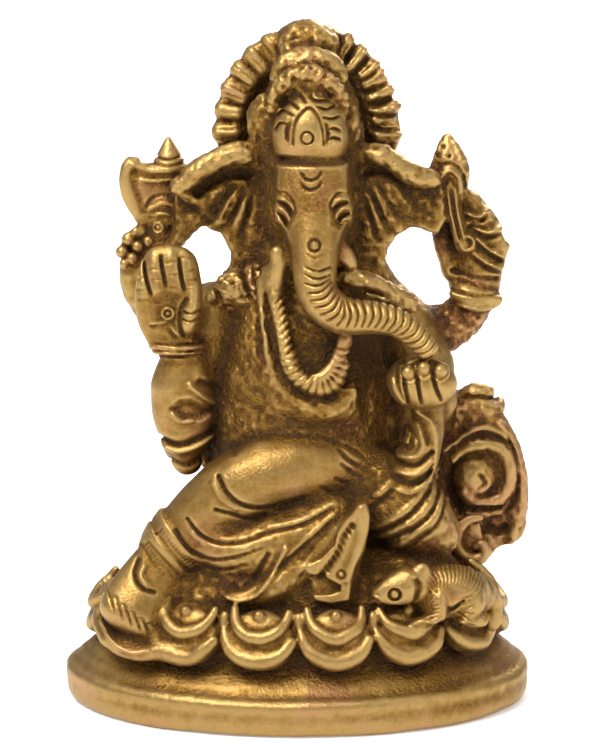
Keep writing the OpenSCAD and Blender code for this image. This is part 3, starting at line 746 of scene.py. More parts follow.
@piece(FACE, 0.25, polish=0.02)
def axe_blade(clay):
    clay.rod([(-18, 0, 61.4, 0.4), (-19, -0.1, 60.7, 0.6), (-19.3, -0.1, 58.8, 0.62), (-18.8, 0, 56.9, 0.6),
              (-17.8, 0.1, 55, 0.5)], 0.35)
    skin = Relief(clay).line([(-18.2, 60), (-18.2, 58.6), (-17.3, 55.8)], 0.55, -0.35)
    skin.line([(-18.2, 61), (-16.4, 60.4), (-14, 60.1)], 0.28, 0.3)
    skin.line([(-17.6, 59.3), (-15.5, 59.2), (-14, 59.4)], 0.22, 0.25)
    skin.line([(-17, 56.3), (-16.2, 57.3), (-14.8, 57.7), (-13.4, 56.9)], 0.2, -0.4)
    skin.line([(-16.6, 56), (-15, 56.7), (-13.4, 56.3)], 0.25, 0.3)
    skin.line([(-16.4, 55.2), (-15, 55.8), (-13.4, 55.6)], 0.2, -0.35)
    skin.press(0.6)
    clay.lumps(0.8, 0.07)


@piece(FACE, 0.2)
def axe_spike(clay):
    middle = clay.axes[1].mean()
    clay.rod([(-14.3, middle, 60.6, 1.9), (-14.35, middle, 62.2, 1.1), (-14.4, middle, 63.7, 0.3)],
             0.2, flat=0.8)
    skin = Relief(clay)
    for z, reach in ((61, 1.9), (61.7, 1.6)):
        skin.line([(-14.4 - reach, z + 0.2), (-14.4, z - 0.1), (-14.4 + reach, z + 0.2)], 0.13, -0.35)
    skin.press()


@piece(FINE, 0.5, polish=0.04)
def arm_front_right(clay):
    skin = Relief(clay)
    skin.area([(-14, 34.5), (-12.9, 35.4), (-11.8, 35.4), (-10.4, 34.5), (-9.2, 34.3), (-10.6, 33.4),
               (-12.7, 33.3)], -0.85, 0.4)
    skin.line([(-13.7, 33.8), (-12.8, 33.1), (-11.6, 33.2)], 0.25, 0.3)
    skin.line([(-11.8, 37.2), (-10.6, 36), (-9.2, 34.9)], 0.32, 0.45)
    skin.line([(-10.8, 37.5), (-9.6, 36.8), (-8.6, 35.8)], 0.35, -0.6)
    skin.line([(-15.2, 30.9), (-13.2, 30.3), (-11.1, 31), (-9.3, 31.9)], 0.34, -0.75)
    skin.line([(-14.8, 29.9), (-13.3, 29.4), (-11.1, 30), (-9.4, 31)], 0.32, 0.42)
    skin.line([(-14, 28.3), (-12.3, 27.7), (-10.4, 28.7)], 0.42, -0.6)
    skin.press(-1.0)
    clay.lumps(1.6, 0.08)


@piece(FACE, 0.25, slot="coppery_brass", polish=-0.02)
def wristband_right(clay):
    for side in ("front", "left", "right"):
        skin = Relief(clay, side)
        lo, hi = skin.u[0], skin.u[-1]
        for z in (41.75, 40.95, 40.35):
            skin.line([(lo, z + 0.35), ((lo + hi) / 2, z), (hi, z + 0.3)], 0.15, -0.32)
        skin.press((clay.axes[0][0] + clay.axes[0][-1]) / 2 if side != "front" else -6.4)
    clay.lumps(0.5, 0.12)


FINGERS = [
    [(-17.2, 51.6), (-17.3, 49.6), (-16.8, 47.2)],
    [(-15.8, 52.4), (-15.7, 50.4), (-15.3, 48)],
    [(-13.9, 52.5), (-13.7, 50.3), (-13.4, 48.2)],
    [(-12.2, 52), (-11.8, 50), (-11.4, 47.9)],
]


@piece(FACE, 0.35, polish=-0.12)
def hand_front_right(clay):
    skin = Relief(clay).lines(FINGERS, 0.5, 0.16, 0.3)
    skin.area([(-15.9, 47), (-14.3, 47.7), (-12.9, 47.2), (-12.9, 44.7), (-13.7, 43.4), (-15.6, 44)],
              -0.45, 0.55)
    gaps = [
        [(-16.75, 51.2), (-16.65, 49.9), (-16.3, 48.4), (-15.9, 47.3)],
        [(-14.9, 51.8), (-14.85, 50.8), (-14.6, 49.6), (-14.35, 48.3)],
        [(-12.95, 51.6), (-12.8, 50.2), (-12.6, 49), (-12.3, 47.8)],
    ]
    skin.lines(gaps, 0.16, -0.9, 0.85)
    joints = [
        [(-17.9, 49.1), (-16.7, 49.3)], [(-17.8, 48), (-16.3, 48.1)], [(-17.4, 46.9), (-16, 46.9)],
        [(-16.2, 50.3), (-15.1, 50.3)], [(-15.9, 49.1), (-14.8, 49.3)], [(-14.5, 50.95), (-13.2, 51.2)],
        [(-14.2, 49.6), (-13.1, 49.8)], [(-13.9, 48.4), (-13.2, 48.3)], [(-12.6, 51.5), (-11.6, 51.5)],
        [(-12.3, 50), (-11.3, 50.2)], [(-11.9, 49.1), (-10.9, 49.2)], [(-12, 46.95), (-10.7, 46.9)],
    ]
    skin.lines(joints, 0.13, -0.3, 0.6)
    skin.line([(-11.3, 48), (-11.5, 46), (-11.7, 43.7)], 0.8, 0.5, 0.4)
    skin.line([(-12.1, 47), (-12.75, 46), (-12.95, 44.5), (-12.6, 42.9)], 0.25, -0.5)
    for z in (45.45, 44.55):
        skin.line([(-12.7, z + 0.3), (-11.7, z), (-10.6, z + 0.3)], 0.14, -0.38)
    skin.arc((-14.2, 45.4), 0.62, -60, 300, 0.14, 0.3).dot((-14.2, 45.4), 0.2, 0.3)
    skin.arc((-14.3, 45.5), 1.1, 20, 160, 0.14, -0.25)
    skin.line([(-16, 44.3), (-15.2, 44.3), (-14.2, 44.5)], 0.2, 0.2, 0.7)
    skin.line([(-14.1, 44.2), (-13.4, 43.3), (-12.6, 42.5)], 0.2, 0.2, 0.7)
    skin.line([(-16, 43.9), (-14.6, 43.9), (-13.5, 42.7)], 0.16, -0.25)
    skin.press(-6.6)


@piece(FINE, 0.4, slot="coppery_brass", polish=-0.14)
def arm_rear_left(clay):
    clay.lumps(0.5, 0.18).lumps(1.3, 0.18, 1)


@piece(FACE, 0.25, polish=0.04)
def bangle_rear_left(clay):
    clay.rod([(17.9, -0.4, 46.4, 0.8), (20, -1, 45.7, 0.9), (22.2, -0.2, 45.8, 0.8)], 0.6)
    skin = Relief(clay).line([(17.6, 46.9), (19.6, 46.5), (22.6, 46.4)], 0.22, -0.35)
    skin.line([(18, 45.2), (20.2, 44.8), (22, 45)], 0.25, 0.3)
    skin.press()
    clay.lumps(0.9, 0.15)


@piece(FACE, 0.45, room=2.6)
def hand_rear_left(clay):
    clay.rod([(15.2, 1.2, 57.4, 0.8), (16, 1.3, 54.8, 1.1), (16.5, 1.4, 51.8, 1.1), (17.4, 1.4, 48.8, 1.1)],
             0.8)
    clay.stain((16, 0, 53.5, 2.8, 0.4))
    skin = Relief(clay).arc((18.9, 52.3), 0.8, 0, 360, 0.28, 0.65).dot((18.85, 52.2), 0.4, -1.1)
    crests = [
        [(18.7, 55.7), (20, 55.2), (21.3, 56.1)], [(19.6, 54.2), (21, 53.5), (22.8, 54)],
        [(19.8, 52.9), (21.5, 51.5), (23.1, 50.7)], [(18.2, 54.1), (19.4, 54.7), (20.4, 54.5)],
        [(19.6, 51.2), (21.2, 50), (22.8, 49.4)],
    ]
    skin.pleats(crests, (0.3, 0.45, 0.5), (0.26, -0.5, 0.8), (0.1, -0.6))
    skin.line([(17.4, 49), (19.8, 48.4), (22.4, 48.2)], 0.26, -0.6)
    skin.press(1.0)
    clay.lumps(0.5, 0.1).lumps(1.3, 0.1, 1)


@piece(FACE, 0.2, polish=-0.16)
def lotus_stem(clay):
    skin = Relief(clay)
    skin.line([(16.7, 58.6), (17, 56), (17.8, 52.6)], 0.2, 0.3)
    skin.line([(17.6, 58.4), (17.8, 56), (18.5, 53)], 0.2, 0.3)
    skin.line([(17.1, 58.6), (17.4, 56), (18.1, 52.8)], 0.16, -0.2).press()


@piece(FACE, 0.25)
def lotus_bud(clay):
    skin = Relief(clay).line([(15.3, 59.8), (16.1, 61), (17.2, 61.2), (18.3, 60.2), (18.7, 58.6)], 0.2, -0.4)
    skin.line([(15.8, 59.4), (16.5, 60.3), (17.3, 60.3), (18, 59.4), (18.2, 58)], 0.22, 0.3)
    skin.line([(16.2, 58.6), (17, 59.4), (17.8, 58.2)], 0.18, -0.3)
    skin.line([(16.4, 65), (17.5, 63.8), (18.4, 61.6)], 0.4, 0.3)
    for x, z in ((15.6, 62), (16.2, 63), (15.8, 61), (16.9, 62), (16, 63.8)):
        skin.dot((x, z), 0.22, -0.5)
    skin.press(0.4)
    clay.stain((17.8, -1, 63, 1.6, -0.25), (15.4, -1, 62, 1.4, 0.2)).lumps(0.5, 0.08).lumps(1.1, 0.1, 1)


@piece(FINE, 0.4, polish=0.04)
def arm_front_left(clay):
    skin = Relief(clay)
    crests = [[(10.4, 26.3), (12.5, 25.8), (14.6, 27)], [(10.9, 28.1), (13, 27.9), (14.8, 29.4)],
              [(11.2, 29.8), (12.9, 29.9), (13.7, 31.2), (13.4, 32.6)]]
    grooves = [[(10.6, 27.3), (12.7, 26.8), (14.7, 28.1)], [(11.1, 29), (13, 28.9), (14.7, 30.3)],
               [(11.2, 30.7), (12.4, 30.9), (12.5, 32.2), (11.8, 33.6)]]
    skin.lines(crests, 0.36, 0.5).lines(grooves, 0.26, -0.6)
    skin.line([(10.8, 33.6), (11.9, 32.9), (12.9, 31.4)], 0.26, 0.3)
    skin.line([(13, 34.8), (14.7, 33.6), (15.2, 31.4), (15.1, 28.7), (14.2, 26.2)], 0.26, 0.35)
    skin.line([(12.4, 34.3), (13.8, 33.2), (14.3, 31.5)], 0.35, -0.35)
    skin.press(-3.0)
    clay.lumps(0.8, 0.08)


@piece(FACE, 0.35, polish=0.02)
def hand_front_left(clay):
    skin = Relief(clay)
    skin.lines([[(12.85, 39.6), (13.1, 38), (13.45, 36)], [(14.6, 40), (14.9, 38.2), (15.6, 36.3)],
                [(11.5, 39.6), (11.7, 37.8), (12.1, 35.9)]], 0.2, -0.75, 0.6)
    for x, z in ((12.1, 39.3), (13.7, 39.8), (15.5, 39.5)):
        skin.arc((x, z), 0.95, 150, 390, 0.14, 0.25)
    skin.line([(10.2, 38.6), (10.8, 37), (11.5, 36)], 0.4, 0.3)
    skin.line([(10.8, 39.4), (11, 38), (11.6, 36.4)], 0.17, -0.3)
    skin.line([(12, 40.4), (14, 41), (16.4, 40.2)], 0.24, 0.3)
    skin.press(-8.0)


@piece(0.1 * COARSER, 0.08, polish=0.15)
def sweets(clay):
    clay.fillet = 0.12


# The legs and cloth


LAP_HOLLOW = (8.6, -8, 25.9, 3, 0.6)  # the colour darkened round the hollow where the folds meet
LEG_BANDS = (
    [(-12.1, 22.9), (-10.7, 21.2), (-8.8, 20.4), (-6.1, 20.6), (-3, 21.8)],
    [(-13.4, 21.5), (-12, 19.5), (-9.7, 18.5), (-7, 18.9), (-4, 20)],
    [(-14.2, 20.5), (-12.6, 18.5), (-10.6, 17.5), (-7.9, 17.4), (-5.6, 18.2)],
)


@piece(FINE, 0.5, polish=0.08)
def leg_right(clay):
    clay.stain(LAP_HOLLOW)
    skin = Relief(clay)
    skin.line([(-8.6, 27.6), (-7.7, 26), (-6.3, 24.8), (-4.4, 24.2), (-2, 24.4), (0.6, 25.2)], 0.24, -0.6)
    skin.line([(-9.2, 27), (-8.3, 25.4), (-6.8, 24.2)], 0.22, 0.25)
    skin.line([(-9, 24.1), (-7.2, 23.6), (-5.5, 23), (-2.6, 23.3)], 0.18, -0.5)
    skin.lines(LEG_BANDS, 0.19, -0.6, 0.3)
    skin.lines([[(-11.4, 21.3), (-9.2, 19.6), (-6.5, 19.8), (-3.6, 20.9)],
                [(-12.5, 19.2), (-10.3, 17.9), (-7.5, 18), (-5, 19)]], 0.3, 0.25)
    skin.line([(-7, 30), (-4.9, 31.5), (-1.1, 31.9), (2.4, 31.6), (6, 30.2), (8.2, 28.3)], 0.22, -0.35)
    skin.lines([[(4.6, 30.4), (5.8, 29), (8.3, 27.6)], [(4.9, 28.8), (6.4, 27.5), (8.6, 26.9)],
                [(4.2, 27.2), (6.2, 26.3), (8.6, 25.7)],
                [(2.6, 26.4), (3.9, 25.6), (5.6, 24.6)]], 0.22, -0.42, 0.5)
    skin.press(-4.5)
    clay.lumps(2.0, 0.06)


LEG_TURN = (0.78, 0.0, 0.63)


@piece(FINE, 0.2, base=False, polish=0.06)
def anklet_upper(clay):
    clay.sleeve(Clay("leg_right", FINE, 0.5), (-12.7, -7, 18.7), LEG_TURN, 0.75, 0.42, 5.5)
    skin = Relief(clay).line([(-15, 20.6), (-13.4, 18.7), (-11.3, 15.8)], 0.2, -0.3)
    skin.ribs([(-15.4, 21.5), (-13, 19.2), (-10.9, 16.4)], 16, (-0.5, 0.5), 0.13, -0.28, bend=0.1)
    skin.press()


@piece(FINE, 0.2, base=False, polish=0.08)
def anklet_lower(clay):
    clay.sleeve(Clay("leg_right", FINE, 0.5), (-14.4, -7, 17), LEG_TURN, 1.25, 0.62, 6.0)
    skin = Relief(clay).line([(-17.2, 19.4), (-15.4, 17.2), (-12.9, 14.2)], 0.22, -0.4)
    skin.line([(-16.4, 20), (-14.4, 17.9), (-12, 15)], 0.16, -0.3)
    skin.ribs([(-16.9, 19.8), (-14.9, 17.6), (-12.4, 14.6)], 18, (-0.3, 0.3), 0.13, -0.25)
    skin.press()


@piece(FINE, 0.5, polish=0.08)
def foot_right(clay):
    skin = Relief(clay)
    for toe in range(5):
        x, z = -20.7 + 0.98 * toe, 13.7 - 0.68 * toe
        skin.line([(x - 0.3, z + 1.1), (x + 0.15, z + 0.2), (x + 0.5, z - 0.9)], 0.15, -0.35, 0.5)
        skin.arc((x + 0.5, z + 0.2), 0.42, 20, 200, 0.11, -0.22)
    skin.line([(-17.6, 18), (-18, 16.6), (-17.2, 15.3), (-15.8, 14.8)], 0.2, -0.45)
    skin.line([(-17, 17.6), (-17.3, 16.6), (-16.6, 15.7)], 0.28, 0.3)
    skin.press(-7.0)


@piece(FINE, 0.35)
def foot_rest(clay):
    skin = Relief(clay).line([(-21.4, 11.2), (-19.6, 10.2), (-17.2, 10)], 0.35, -0.6)
    skin.line([(-21.9, 11), (-20.2, 9.2), (-18.2, 8.5), (-16.4, 8.8)], 0.3, 0.35)
    skin.press()
    clay.lumps(1.0, 0.1)


@piece(FINE, 0.6, polish=0.12)
def leg_left(clay):
    clay.stain(LAP_HOLLOW)
    skin = Relief(clay)
    crests = [
        [(7, 20.6), (8.4, 21.7), (10.5, 22.9), (12.6, 24.6), (14, 26.2)],
        [(7, 19.2), (8.6, 20), (10.7, 21.5), (13, 22.9), (14.8, 24.8), (15.6, 28)],
        [(10, 18.8), (11.6, 19.7), (13.5, 21.4), (15.1, 22.9), (16, 25)],
        [(6.6, 24), (8.4, 25.2), (10.4, 27)],
    ]
    skin.pleats(crests, (0.45, 0.32), (0.24, -0.38), (0.45, -0.6))
    skin.press(-4.0)
    clay.lumps(0.5, 0.1).lumps(1.5, 0.1, 1)


@piece(FINE, 0.5, polish=0.03)
def dhoti_folds(clay):
    clay.stain(LAP_HOLLOW)
    skin = Relief(clay).line([(-9.1, 15.8), (-8.2, 14.7), (-6.4, 14.3), (-4.8, 14.8), (-3.6, 16),
                              (-2.4, 17.8), (-1.2, 20)], 0.3, 0.4)
    skin.line([(-8.7, 16.2), (-7.3, 15.4), (-5.9, 15.5), (-4.6, 16.8), (-3.2, 19.4)], 0.3, -0.5)
    skin.lines(LEG_BANDS, 0.22, -0.4, 0.4)
    folds = [[(4, 24.8), (0.6, 23.2), (-3, 22.4)], [(4, 23.6), (1, 21), (-1.8, 18.6)],
             [(4, 22.2), (2.2, 19.8), (0.6, 17.6)]]
    skin.pleats(folds, (0.4, 0.25, 0.3), (0.24, -0.35, 0.4), (-0.3, -0.7))
    skin.press(-7.0)
    clay.lumps(0.5, 0.07).lumps(1.5, 0.12, 1)


@piece(FACE, room=1.6, base=False, polish=0.12)
def dhoti_pleat(clay):
    outline = [
        (5.9, 23.9), (6.6, 24.9), (7.5, 25.2), (7.9, 23.8), (7.7, 21.8), (7.2, 19.7), (6.3, 18), (6, 16.4),
        (5.7, 14.2), (3.6, 13.8), (1.9, 14.2), (1.8, 14.8), (3.6, 14.9), (4.7, 15.3), (4.7, 15.9),
        (3.2, 16.7), (1.3, 17.2), (0.8, 18), (2.5, 18.9), (4, 20.4), (4.4, 22), (5.2, 23.2),
    ]
    clay.plate(outline, -12.9, -9)
    clay.plate([(0.8, 17.8), (4.6, 22.8), (7.2, 24.6), (7.4, 20), (5.8, 14.3), (2.4, 14.2)], -12.2, -9, 0.5)
    skin = Relief(clay).line([(5.9, 22.6), (5, 21.2), (4.3, 19.4), (3.4, 18), (2.7, 17.1)], 0.42, -0.75)
    skin.dot((4.8, 17.2), 0.28, 0.35).arc((4.8, 17.2), 0.45, 0, 360, 0.11, -0.25)
    skin.ribs([(5.9, 22.6), (4.6, 20), (2.9, 17.2)], 9, (-0.4, 0.4), 0.12, 0.14, slant=30)
    skin.line([(7, 24.6), (7.2, 22.4), (6.5, 19.6), (5.4, 16.6)], 0.5, 0.3)
    skin.press(-11)


# The mouse


@piece(FACE, 0.3, polish=0.14)
def mouse_head(clay):
    skin = Relief(clay).area([(11.6, 18.2), (12.9, 17.4), (12.8, 14.5), (11.6, 13.9), (10, 13.9), (8.5, 14.6),
                              (8, 15.4), (9.2, 16.7), (10.4, 17.8)], 0.4, 0.2)
    skin.arc((10.6, 15.35), 0.6, 0, 360, 0.17, -0.7).dot((10.6, 15.35), 0.3, 0.3)
    skin.line([(7.6, 15.3), (8.8, 15.25)], 0.13, -0.4).line([(7.6, 14.8), (8.7, 14.65)], 0.13, -0.4)
    skin.line([(12.6, 17), (13.4, 16.2), (13, 14.8)], 0.3, -0.5)
    skin.press()


@piece(FINE, 0.3, polish=0.08)
def mouse_body(clay):
    clay.ball((17, -11.6, 14.5), (3.3, 1.9, 2.4), 0.6).ball((15.2, -12, 13.6), (2, 1.7, 1.8), 0.5)
    skin = Relief(clay)
    skin.ribs([(13.6, 16), (14.8, 16.9), (17, 17.3), (19, 16.8), (20.4, 15.3)], 17, (-1.3, 0.5),
              0.13, -0.3, bend=0.2)
    skin.ribs([(18.8, 15), (19, 13.6), (18.6, 12.4)], 7, (-1.2, 1.2), 0.13, -0.3)
    skin.line([(15.2, 15.5), (15.6, 13.5), (16.1, 14.3), (16.8, 13.4), (18.2, 14.3)], 0.22, -0.6)
    skin.press(-9.0)
    clay.lumps(1.2, 0.1)


@piece(FACE, 0.25)
def mouse_legs(clay):
    skin = Relief(clay)
    skin.ribs([(13.6, 15.3), (14.6, 14), (15, 12.6)], 8, (-0.9, 0.9), 0.12, -0.28)
    skin.ribs([(17.4, 14.6), (18.4, 13.2), (18, 12)], 7, (-1, 1), 0.12, -0.28)
    skin.line([(12.4, 12), (13.6, 12.4), (15, 12.2)], 0.25, 0.3)
    skin.line([(16.8, 11.7), (18.4, 12), (19.4, 11.9)], 0.25, 0.3)
    skin.press()


@piece(FINE, 0.3, polish=0.1)
def mouse_tail(clay):
    clay.rod([(20.4, -7.9, 15.6, 0.5), (21.4, -7.6, 14, 0.75), (22, -7.4, 12, 0.85), (22, -7.4, 10.4, 0.7)],
             0.5)
    clay.lumps(0.5, 0.07).lumps(1.2, 0.1, 1)


# The bolster


@piece(MEDIUM, 0.7, slot="coppery_brass")
def bolster_body(clay):
    skin = Relief(clay)
    skin.line([(16.6, 28.7), (18.1, 29.9), (19.9, 31.1), (21.3, 31.3), (22.9, 30.9), (24.1, 29.9)], 0.4, 0.5)
    skin.line([(22.9, 31.7), (24.4, 29.8), (25.3, 27.2), (25.6, 24.6), (25.5, 22.3), (24.7, 19.9),
               (24.5, 18.5)], 0.6, 0.4)
    skin.line([(23.8, 30.2), (24.8, 27.8), (25, 25.2), (24.7, 22.9), (23.6, 21.4)], 0.2, -0.45)
    skin.line([(18.6, 28), (17.6, 26.1), (17.5, 24), (18.3, 22.4)], 0.5, -0.9)
    skin.line([(15.6, 26.4), (15.8, 23.6), (16.8, 21.4), (18.4, 20.8)], 0.45, 0.35)
    skin.line([(19.2, 21.4), (21, 21.2), (23, 21.5)], 0.4, 0.5)
    skin.line([(21.6, 19.6), (22.8, 19.3), (23.6, 19.6)], 0.6, -1.1)
    skin.press(1.0)
    clay.stain((17.4, -1.5, 25.2, 1.8, 0.35), (22.4, -2, 19.6, 1.6, 0.35), (16.4, -1, 31, 2.4, 0.2))
    clay.lumps(0.5, 0.16).lumps(1.6, 0.12, 1)


@piece(FACE, base=False, slot="coppery_brass", polish=0.08)
def bolster_scroll(clay):
    ring = [(17.7, 27.6, 0.4), (19.1, 28.9, 0.55), (20.6, 29.4, 0.6), (22.1, 29.2, 0.62), (23.4, 28.5, 0.66),
            (24, 27.2, 0.7), (24.1, 25.3, 0.72), (23.6, 24, 0.72), (22.6, 23, 0.7), (21.3, 22.7, 0.7),
            (19.8, 23, 0.8), (19, 24, 0.85)]
    clay.rod(level(ring, -1.5), 0.35, per=7)
    clay.ball((20, -1.4, 25.6), (2.3, 1.2, 2.25), 0.3)
    clay.plate([(17.8, 27), (20, 29.4), (23, 28.6), (24, 26.5), (23, 24), (20, 23.2), (18.4, 25)],
               -1.2, -0.4, 0.4)
    Relief(clay).line([(20.6, 26.2), (21.2, 25.2), (20.6, 24.5)], 0.3, -0.5, 0.5).press()
    clay.lumps(0.5, 0.1).lumps(1.1, 0.1, 1)


@piece(FACE, base=False, room=1.5, slot="coppery_brass", polish=0.08)
def bolster_scroll_small(clay):
    curl = [(20.6, 21.4, 0.4), (19.2, 21.1, 0.6), (18.2, 20, 0.7), (17.9, 18.5, 0.74), (18.5, 17.2, 0.76),
            (19.7, 16.6, 0.76), (20.8, 16.8, 0.74), (21.2, 17.6, 0.7), (20.8, 18.3, 0.6), (20.2, 18, 0.4)]
    clay.rod(level(curl, -3.5), 0.25, per=7)
    clay.plate([(18.4, 20.6), (20.6, 20.8), (21.2, 18), (19.8, 17), (18.2, 17.6)], -3.3, -2.7, 0.3)
    clay.stain((19.6, -3.4, 19.2, 0.9, 0.3)).lumps(0.5, 0.05)


@piece(FINE, 0.35, slot="coppery_brass", polish=-0.02)
def bolster_finial(clay):
    clay.rod([(18.8, 0.6, 35, 0.5), (20.2, 0.6, 35.3, 0.75), (21.6, 0.7, 35, 0.6)], 0.5)
    clay.rod([(18.8, 0.4, 33.7, 0.6), (20.8, 0.2, 33.9, 0.85), (22.6, 0.4, 33.4, 0.7)], 0.5)
    skin = Relief(clay).line([(18.6, 34.6), (20.8, 34.7), (22.6, 34.2)], 0.2, -0.5)
    skin.line([(19, 33.6), (21, 33.8), (22.8, 33.3)], 0.16, -0.35)
    skin.press()
    clay.lumps(0.5, 0.18).lumps(1.2, 0.2, 1)


# The lotus seat and plinth


def oval(rx, ry, count):
    """That many angles round an oval, evenly spaced along its edge, the first half a step from the front."""
    turns = np.radians(np.arange(0, 361))
    edge = np.stack([rx * np.sin(turns), -ry * np.cos(turns)], 1)
    length = np.concatenate([[0], np.cumsum(np.linalg.norm(np.diff(edge, axis=0), axis=1))])
    return np.interp((np.arange(count) + 0.5) / count * length[-1], length, turns), length[-1] / count


PETALS = 14
PETAL_OVAL = (21.9, 14.9)
PETAL_MIDDLE = 10.5
PETAL_HEIGHT = 3.3
PETAL_BULGE = 1.7
PETAL_LEAN = math.radians(18)
PETAL_SWAY = 0.04  # how unevenly the petals are modelled
PETAL_TURN = math.radians(9)  # how far the petals at the sides are turned outward


@piece(MEDIUM, 0.35, room=0.6, polish=0.24)
def lotus_petals(clay):
    turns, pitch = oval(*PETAL_OVAL, PETALS)
    wide = pitch / 2 + 0.1
    rng = np.random.default_rng(SEED)
    for turn in turns:
        foot = np.array([PETAL_OVAL[0] * math.sin(turn), -PETAL_OVAL[1] * math.cos(turn), PETAL_MIDDLE])
        out = np.array([foot[0] / PETAL_OVAL[0] ** 2, foot[1] / PETAL_OVAL[1] ** 2, 0])
        out /= np.linalg.norm(out)
        side = np.array([-out[1], out[0], 0])
        up = np.array([0, 0, math.cos(PETAL_LEAN)]) - out * math.sin(PETAL_LEAN)
        face = out * math.cos(PETAL_LEAN) + np.array([0, 0, math.sin(PETAL_LEAN)])
        twist = PETAL_TURN * math.sin(turn) + PETAL_SWAY * rng.uniform(-1, 1)

        def crescent(reach, middle, low, thick, thin, sunk, cut=False, end=92):
            """A bar bent like a smile: reach, middle and low are shares of the petal's half sizes."""
            bar = []
            for a in np.radians(np.linspace(-92, end, 9)):
                s = reach * math.sin(a)
                v = middle - (middle - low) * math.cos(a) + PETAL_SWAY * rng.uniform(-1, 1)
                s, v = s * math.cos(twist) - v * math.sin(twist), v * math.cos(twist) + s * math.sin(twist)
                bulge = PETAL_BULGE * math.sqrt(max(0.05, 1 - s * s - v * v)) - sunk
                place = foot + side * s * wide + up * v * PETAL_HEIGHT + face * bulge
                bar.append([*place, thin + (thick - thin) * math.cos(a)])
            clay.rod(bar, 0.2, cut, per=3)

        crescent(0.8, 0.4, -0.4, 0.42, 0.25, -0.15, True)
        crescent(0.46, 0.9, 0.3, 0.42, 0.3, -0.2, True)
        crescent(0.92, 0.35, -0.8, 1, 0.4, 0.35, end=66)
        crescent(0.7, 0.9, -0.02, 0.78, 0.45, 0.15)
        clay.ball(foot + up * 0.72 * PETAL_HEIGHT + face * 1.0, 0.6, 0.25)
        clay.ball(foot + side * wide + up * 0.5 * PETAL_HEIGHT - face * 0.2, (0.7, 0.7, 1.3), 0.4)
    clay.lumps(0.9, 0.07)


@piece(0.26 * COARSER, 0.8, polish=-0.06)
def lotus_seat(clay):
    clay.ball((0, -6.3, 13.2), (15.5, 6, 6.4), 1.5).ball((12.6, -5.2, 13.6), (6.6, 6, 5.4), 1.5)
    clay.ball((-9, -5.6, 12.6), (8, 6.2, 5), 1.5)
    clay.lumps(0.6, 0.2).lumps(1.6, 0.25, 1)


PLINTH = (26.6, 18)  # half its width and depth


def ring(share, height, radius):
    """Points for a bar laid round the plinth's slope, at that share of the plinth's half width and depth."""
    turns = np.radians(np.arange(0, 361, 7.5))
    return [(PLINTH[0] * share * math.cos(t), PLINTH[1] * share * math.sin(t), height, radius) for t in turns]


@piece(BROAD, 0.4, polish=0.22)
def plinth(clay):
    clay.rod(ring(0.974, 3.45, 0.65), 0.9, per=1)
    clay.rod(ring(0.925, 6, 0.2), 0.5, cut=True, per=1)
    clay.stain((17, -13, 6, 6, 0.3), (24, -6, 5, 6, 0.25), (-24, -7, 4, 5, -0.1), (-14, -13, 6.5, 5, 0.1))
    clay.lumps(0.6, 0.03).lumps(3.2, 0.16, 1)


# Looks -------------------------------------------------------------------------------------------

OPEN_VOXEL = 0.3 * COARSER
TIGHT_REACH = 0.45  # how far round a point its small hollows are looked for
WIDE_REACH = 1.7  # and its large ones
FINE_REACH = 0.3  # how far edges are felt for
LOOK_OUT = 0.35  # how far outside the surface hollows are measured
OPEN_CLOSE, OPEN_BROAD = 0.24, 0.42  # how filled the space is there on an even surface
USUAL_WEAR, EDGE_WEAR, WIDE_WEAR = 0.57, 1.1, 1.15
SKIRT = 0.75  # how far from a piece its fillets reach
SUNK = 0.08  # how far under the neighbour's skin they end


def hollows(clays):
    """How filled the space round each place is, over a tight and a wide reach."""
    lo = np.min([[a[0] for a in c.axes] for c in clays], axis=0) - 1
    hi = np.max([[a[-1] for a in c.axes] for c in clays], axis=0) + 1
    first = np.floor(lo / OPEN_VOXEL).astype(int)
    count = np.ceil(hi / OPEN_VOXEL).astype(int) - first + 1
    axes = [(first[a] + np.arange(count[a])) * OPEN_VOXEL for a in range(3)]
    filled = np.zeros(count, np.float32)
    for clay in clays:
        cuts = tuple(slice(*np.searchsorted(axes[a], [clay.axes[a][0], clay.axes[a][-1]])) for a in range(3))
        near = regrid(clay.field, clay.axes, [axes[a][cuts[a]] for a in range(3)], FAR)
        filled[cuts] = np.maximum(filled[cuts], np.clip(0.5 - near / OPEN_VOXEL, 0, 1))
    return axes, blurred(filled, TIGHT_REACH / OPEN_VOXEL), blurred(filled, WIDE_REACH / OPEN_VOXEL)


def settle(clays):
    """Runs each piece softly into its neighbours, as the parts of a casting are."""
    fields = []
    for clay in clays:
        field = clay.field.copy()
        for other in clays:
            lo = [max(clay.axes[a][0], other.axes[a][0]) for a in range(3)]
            hi = [min(clay.axes[a][-1], other.axes[a][-1]) for a in range(3)]
            if other is clay or any(h <= l for l, h in zip(lo, hi)):
                continue
            cuts, _ = clay.block(lo, hi)
            own = clay.field[cuts]
            near = regrid(other.field, other.axes, [clay.axes[a][cuts[a]] for a in range(3)], FAR)
            joined = soft_min(own, near + np.float32(SUNK), (clay.fillet + other.fillet) / 2)
            field[cuts] = np.minimum(field[cuts], np.maximum(joined, own - np.float32(SKIRT)))
        fields.append(field)
    for clay, field in zip(clays, fields):
        clay.field = field


def normals_of(points, quads):
    """The direction that the surface faces at each point."""
    a, b, c, d = (points[quads[:, i]] for i in range(4))
    face = np.cross(c - a, d - b)
    sums = [np.bincount(quads.ravel(), np.repeat(face[:, k], 4), len(points)) for k in range(3)]
    total = np.stack(sums, 1)
    return total / np.maximum(np.linalg.norm(total, axis=1, keepdims=True), 1e-9)


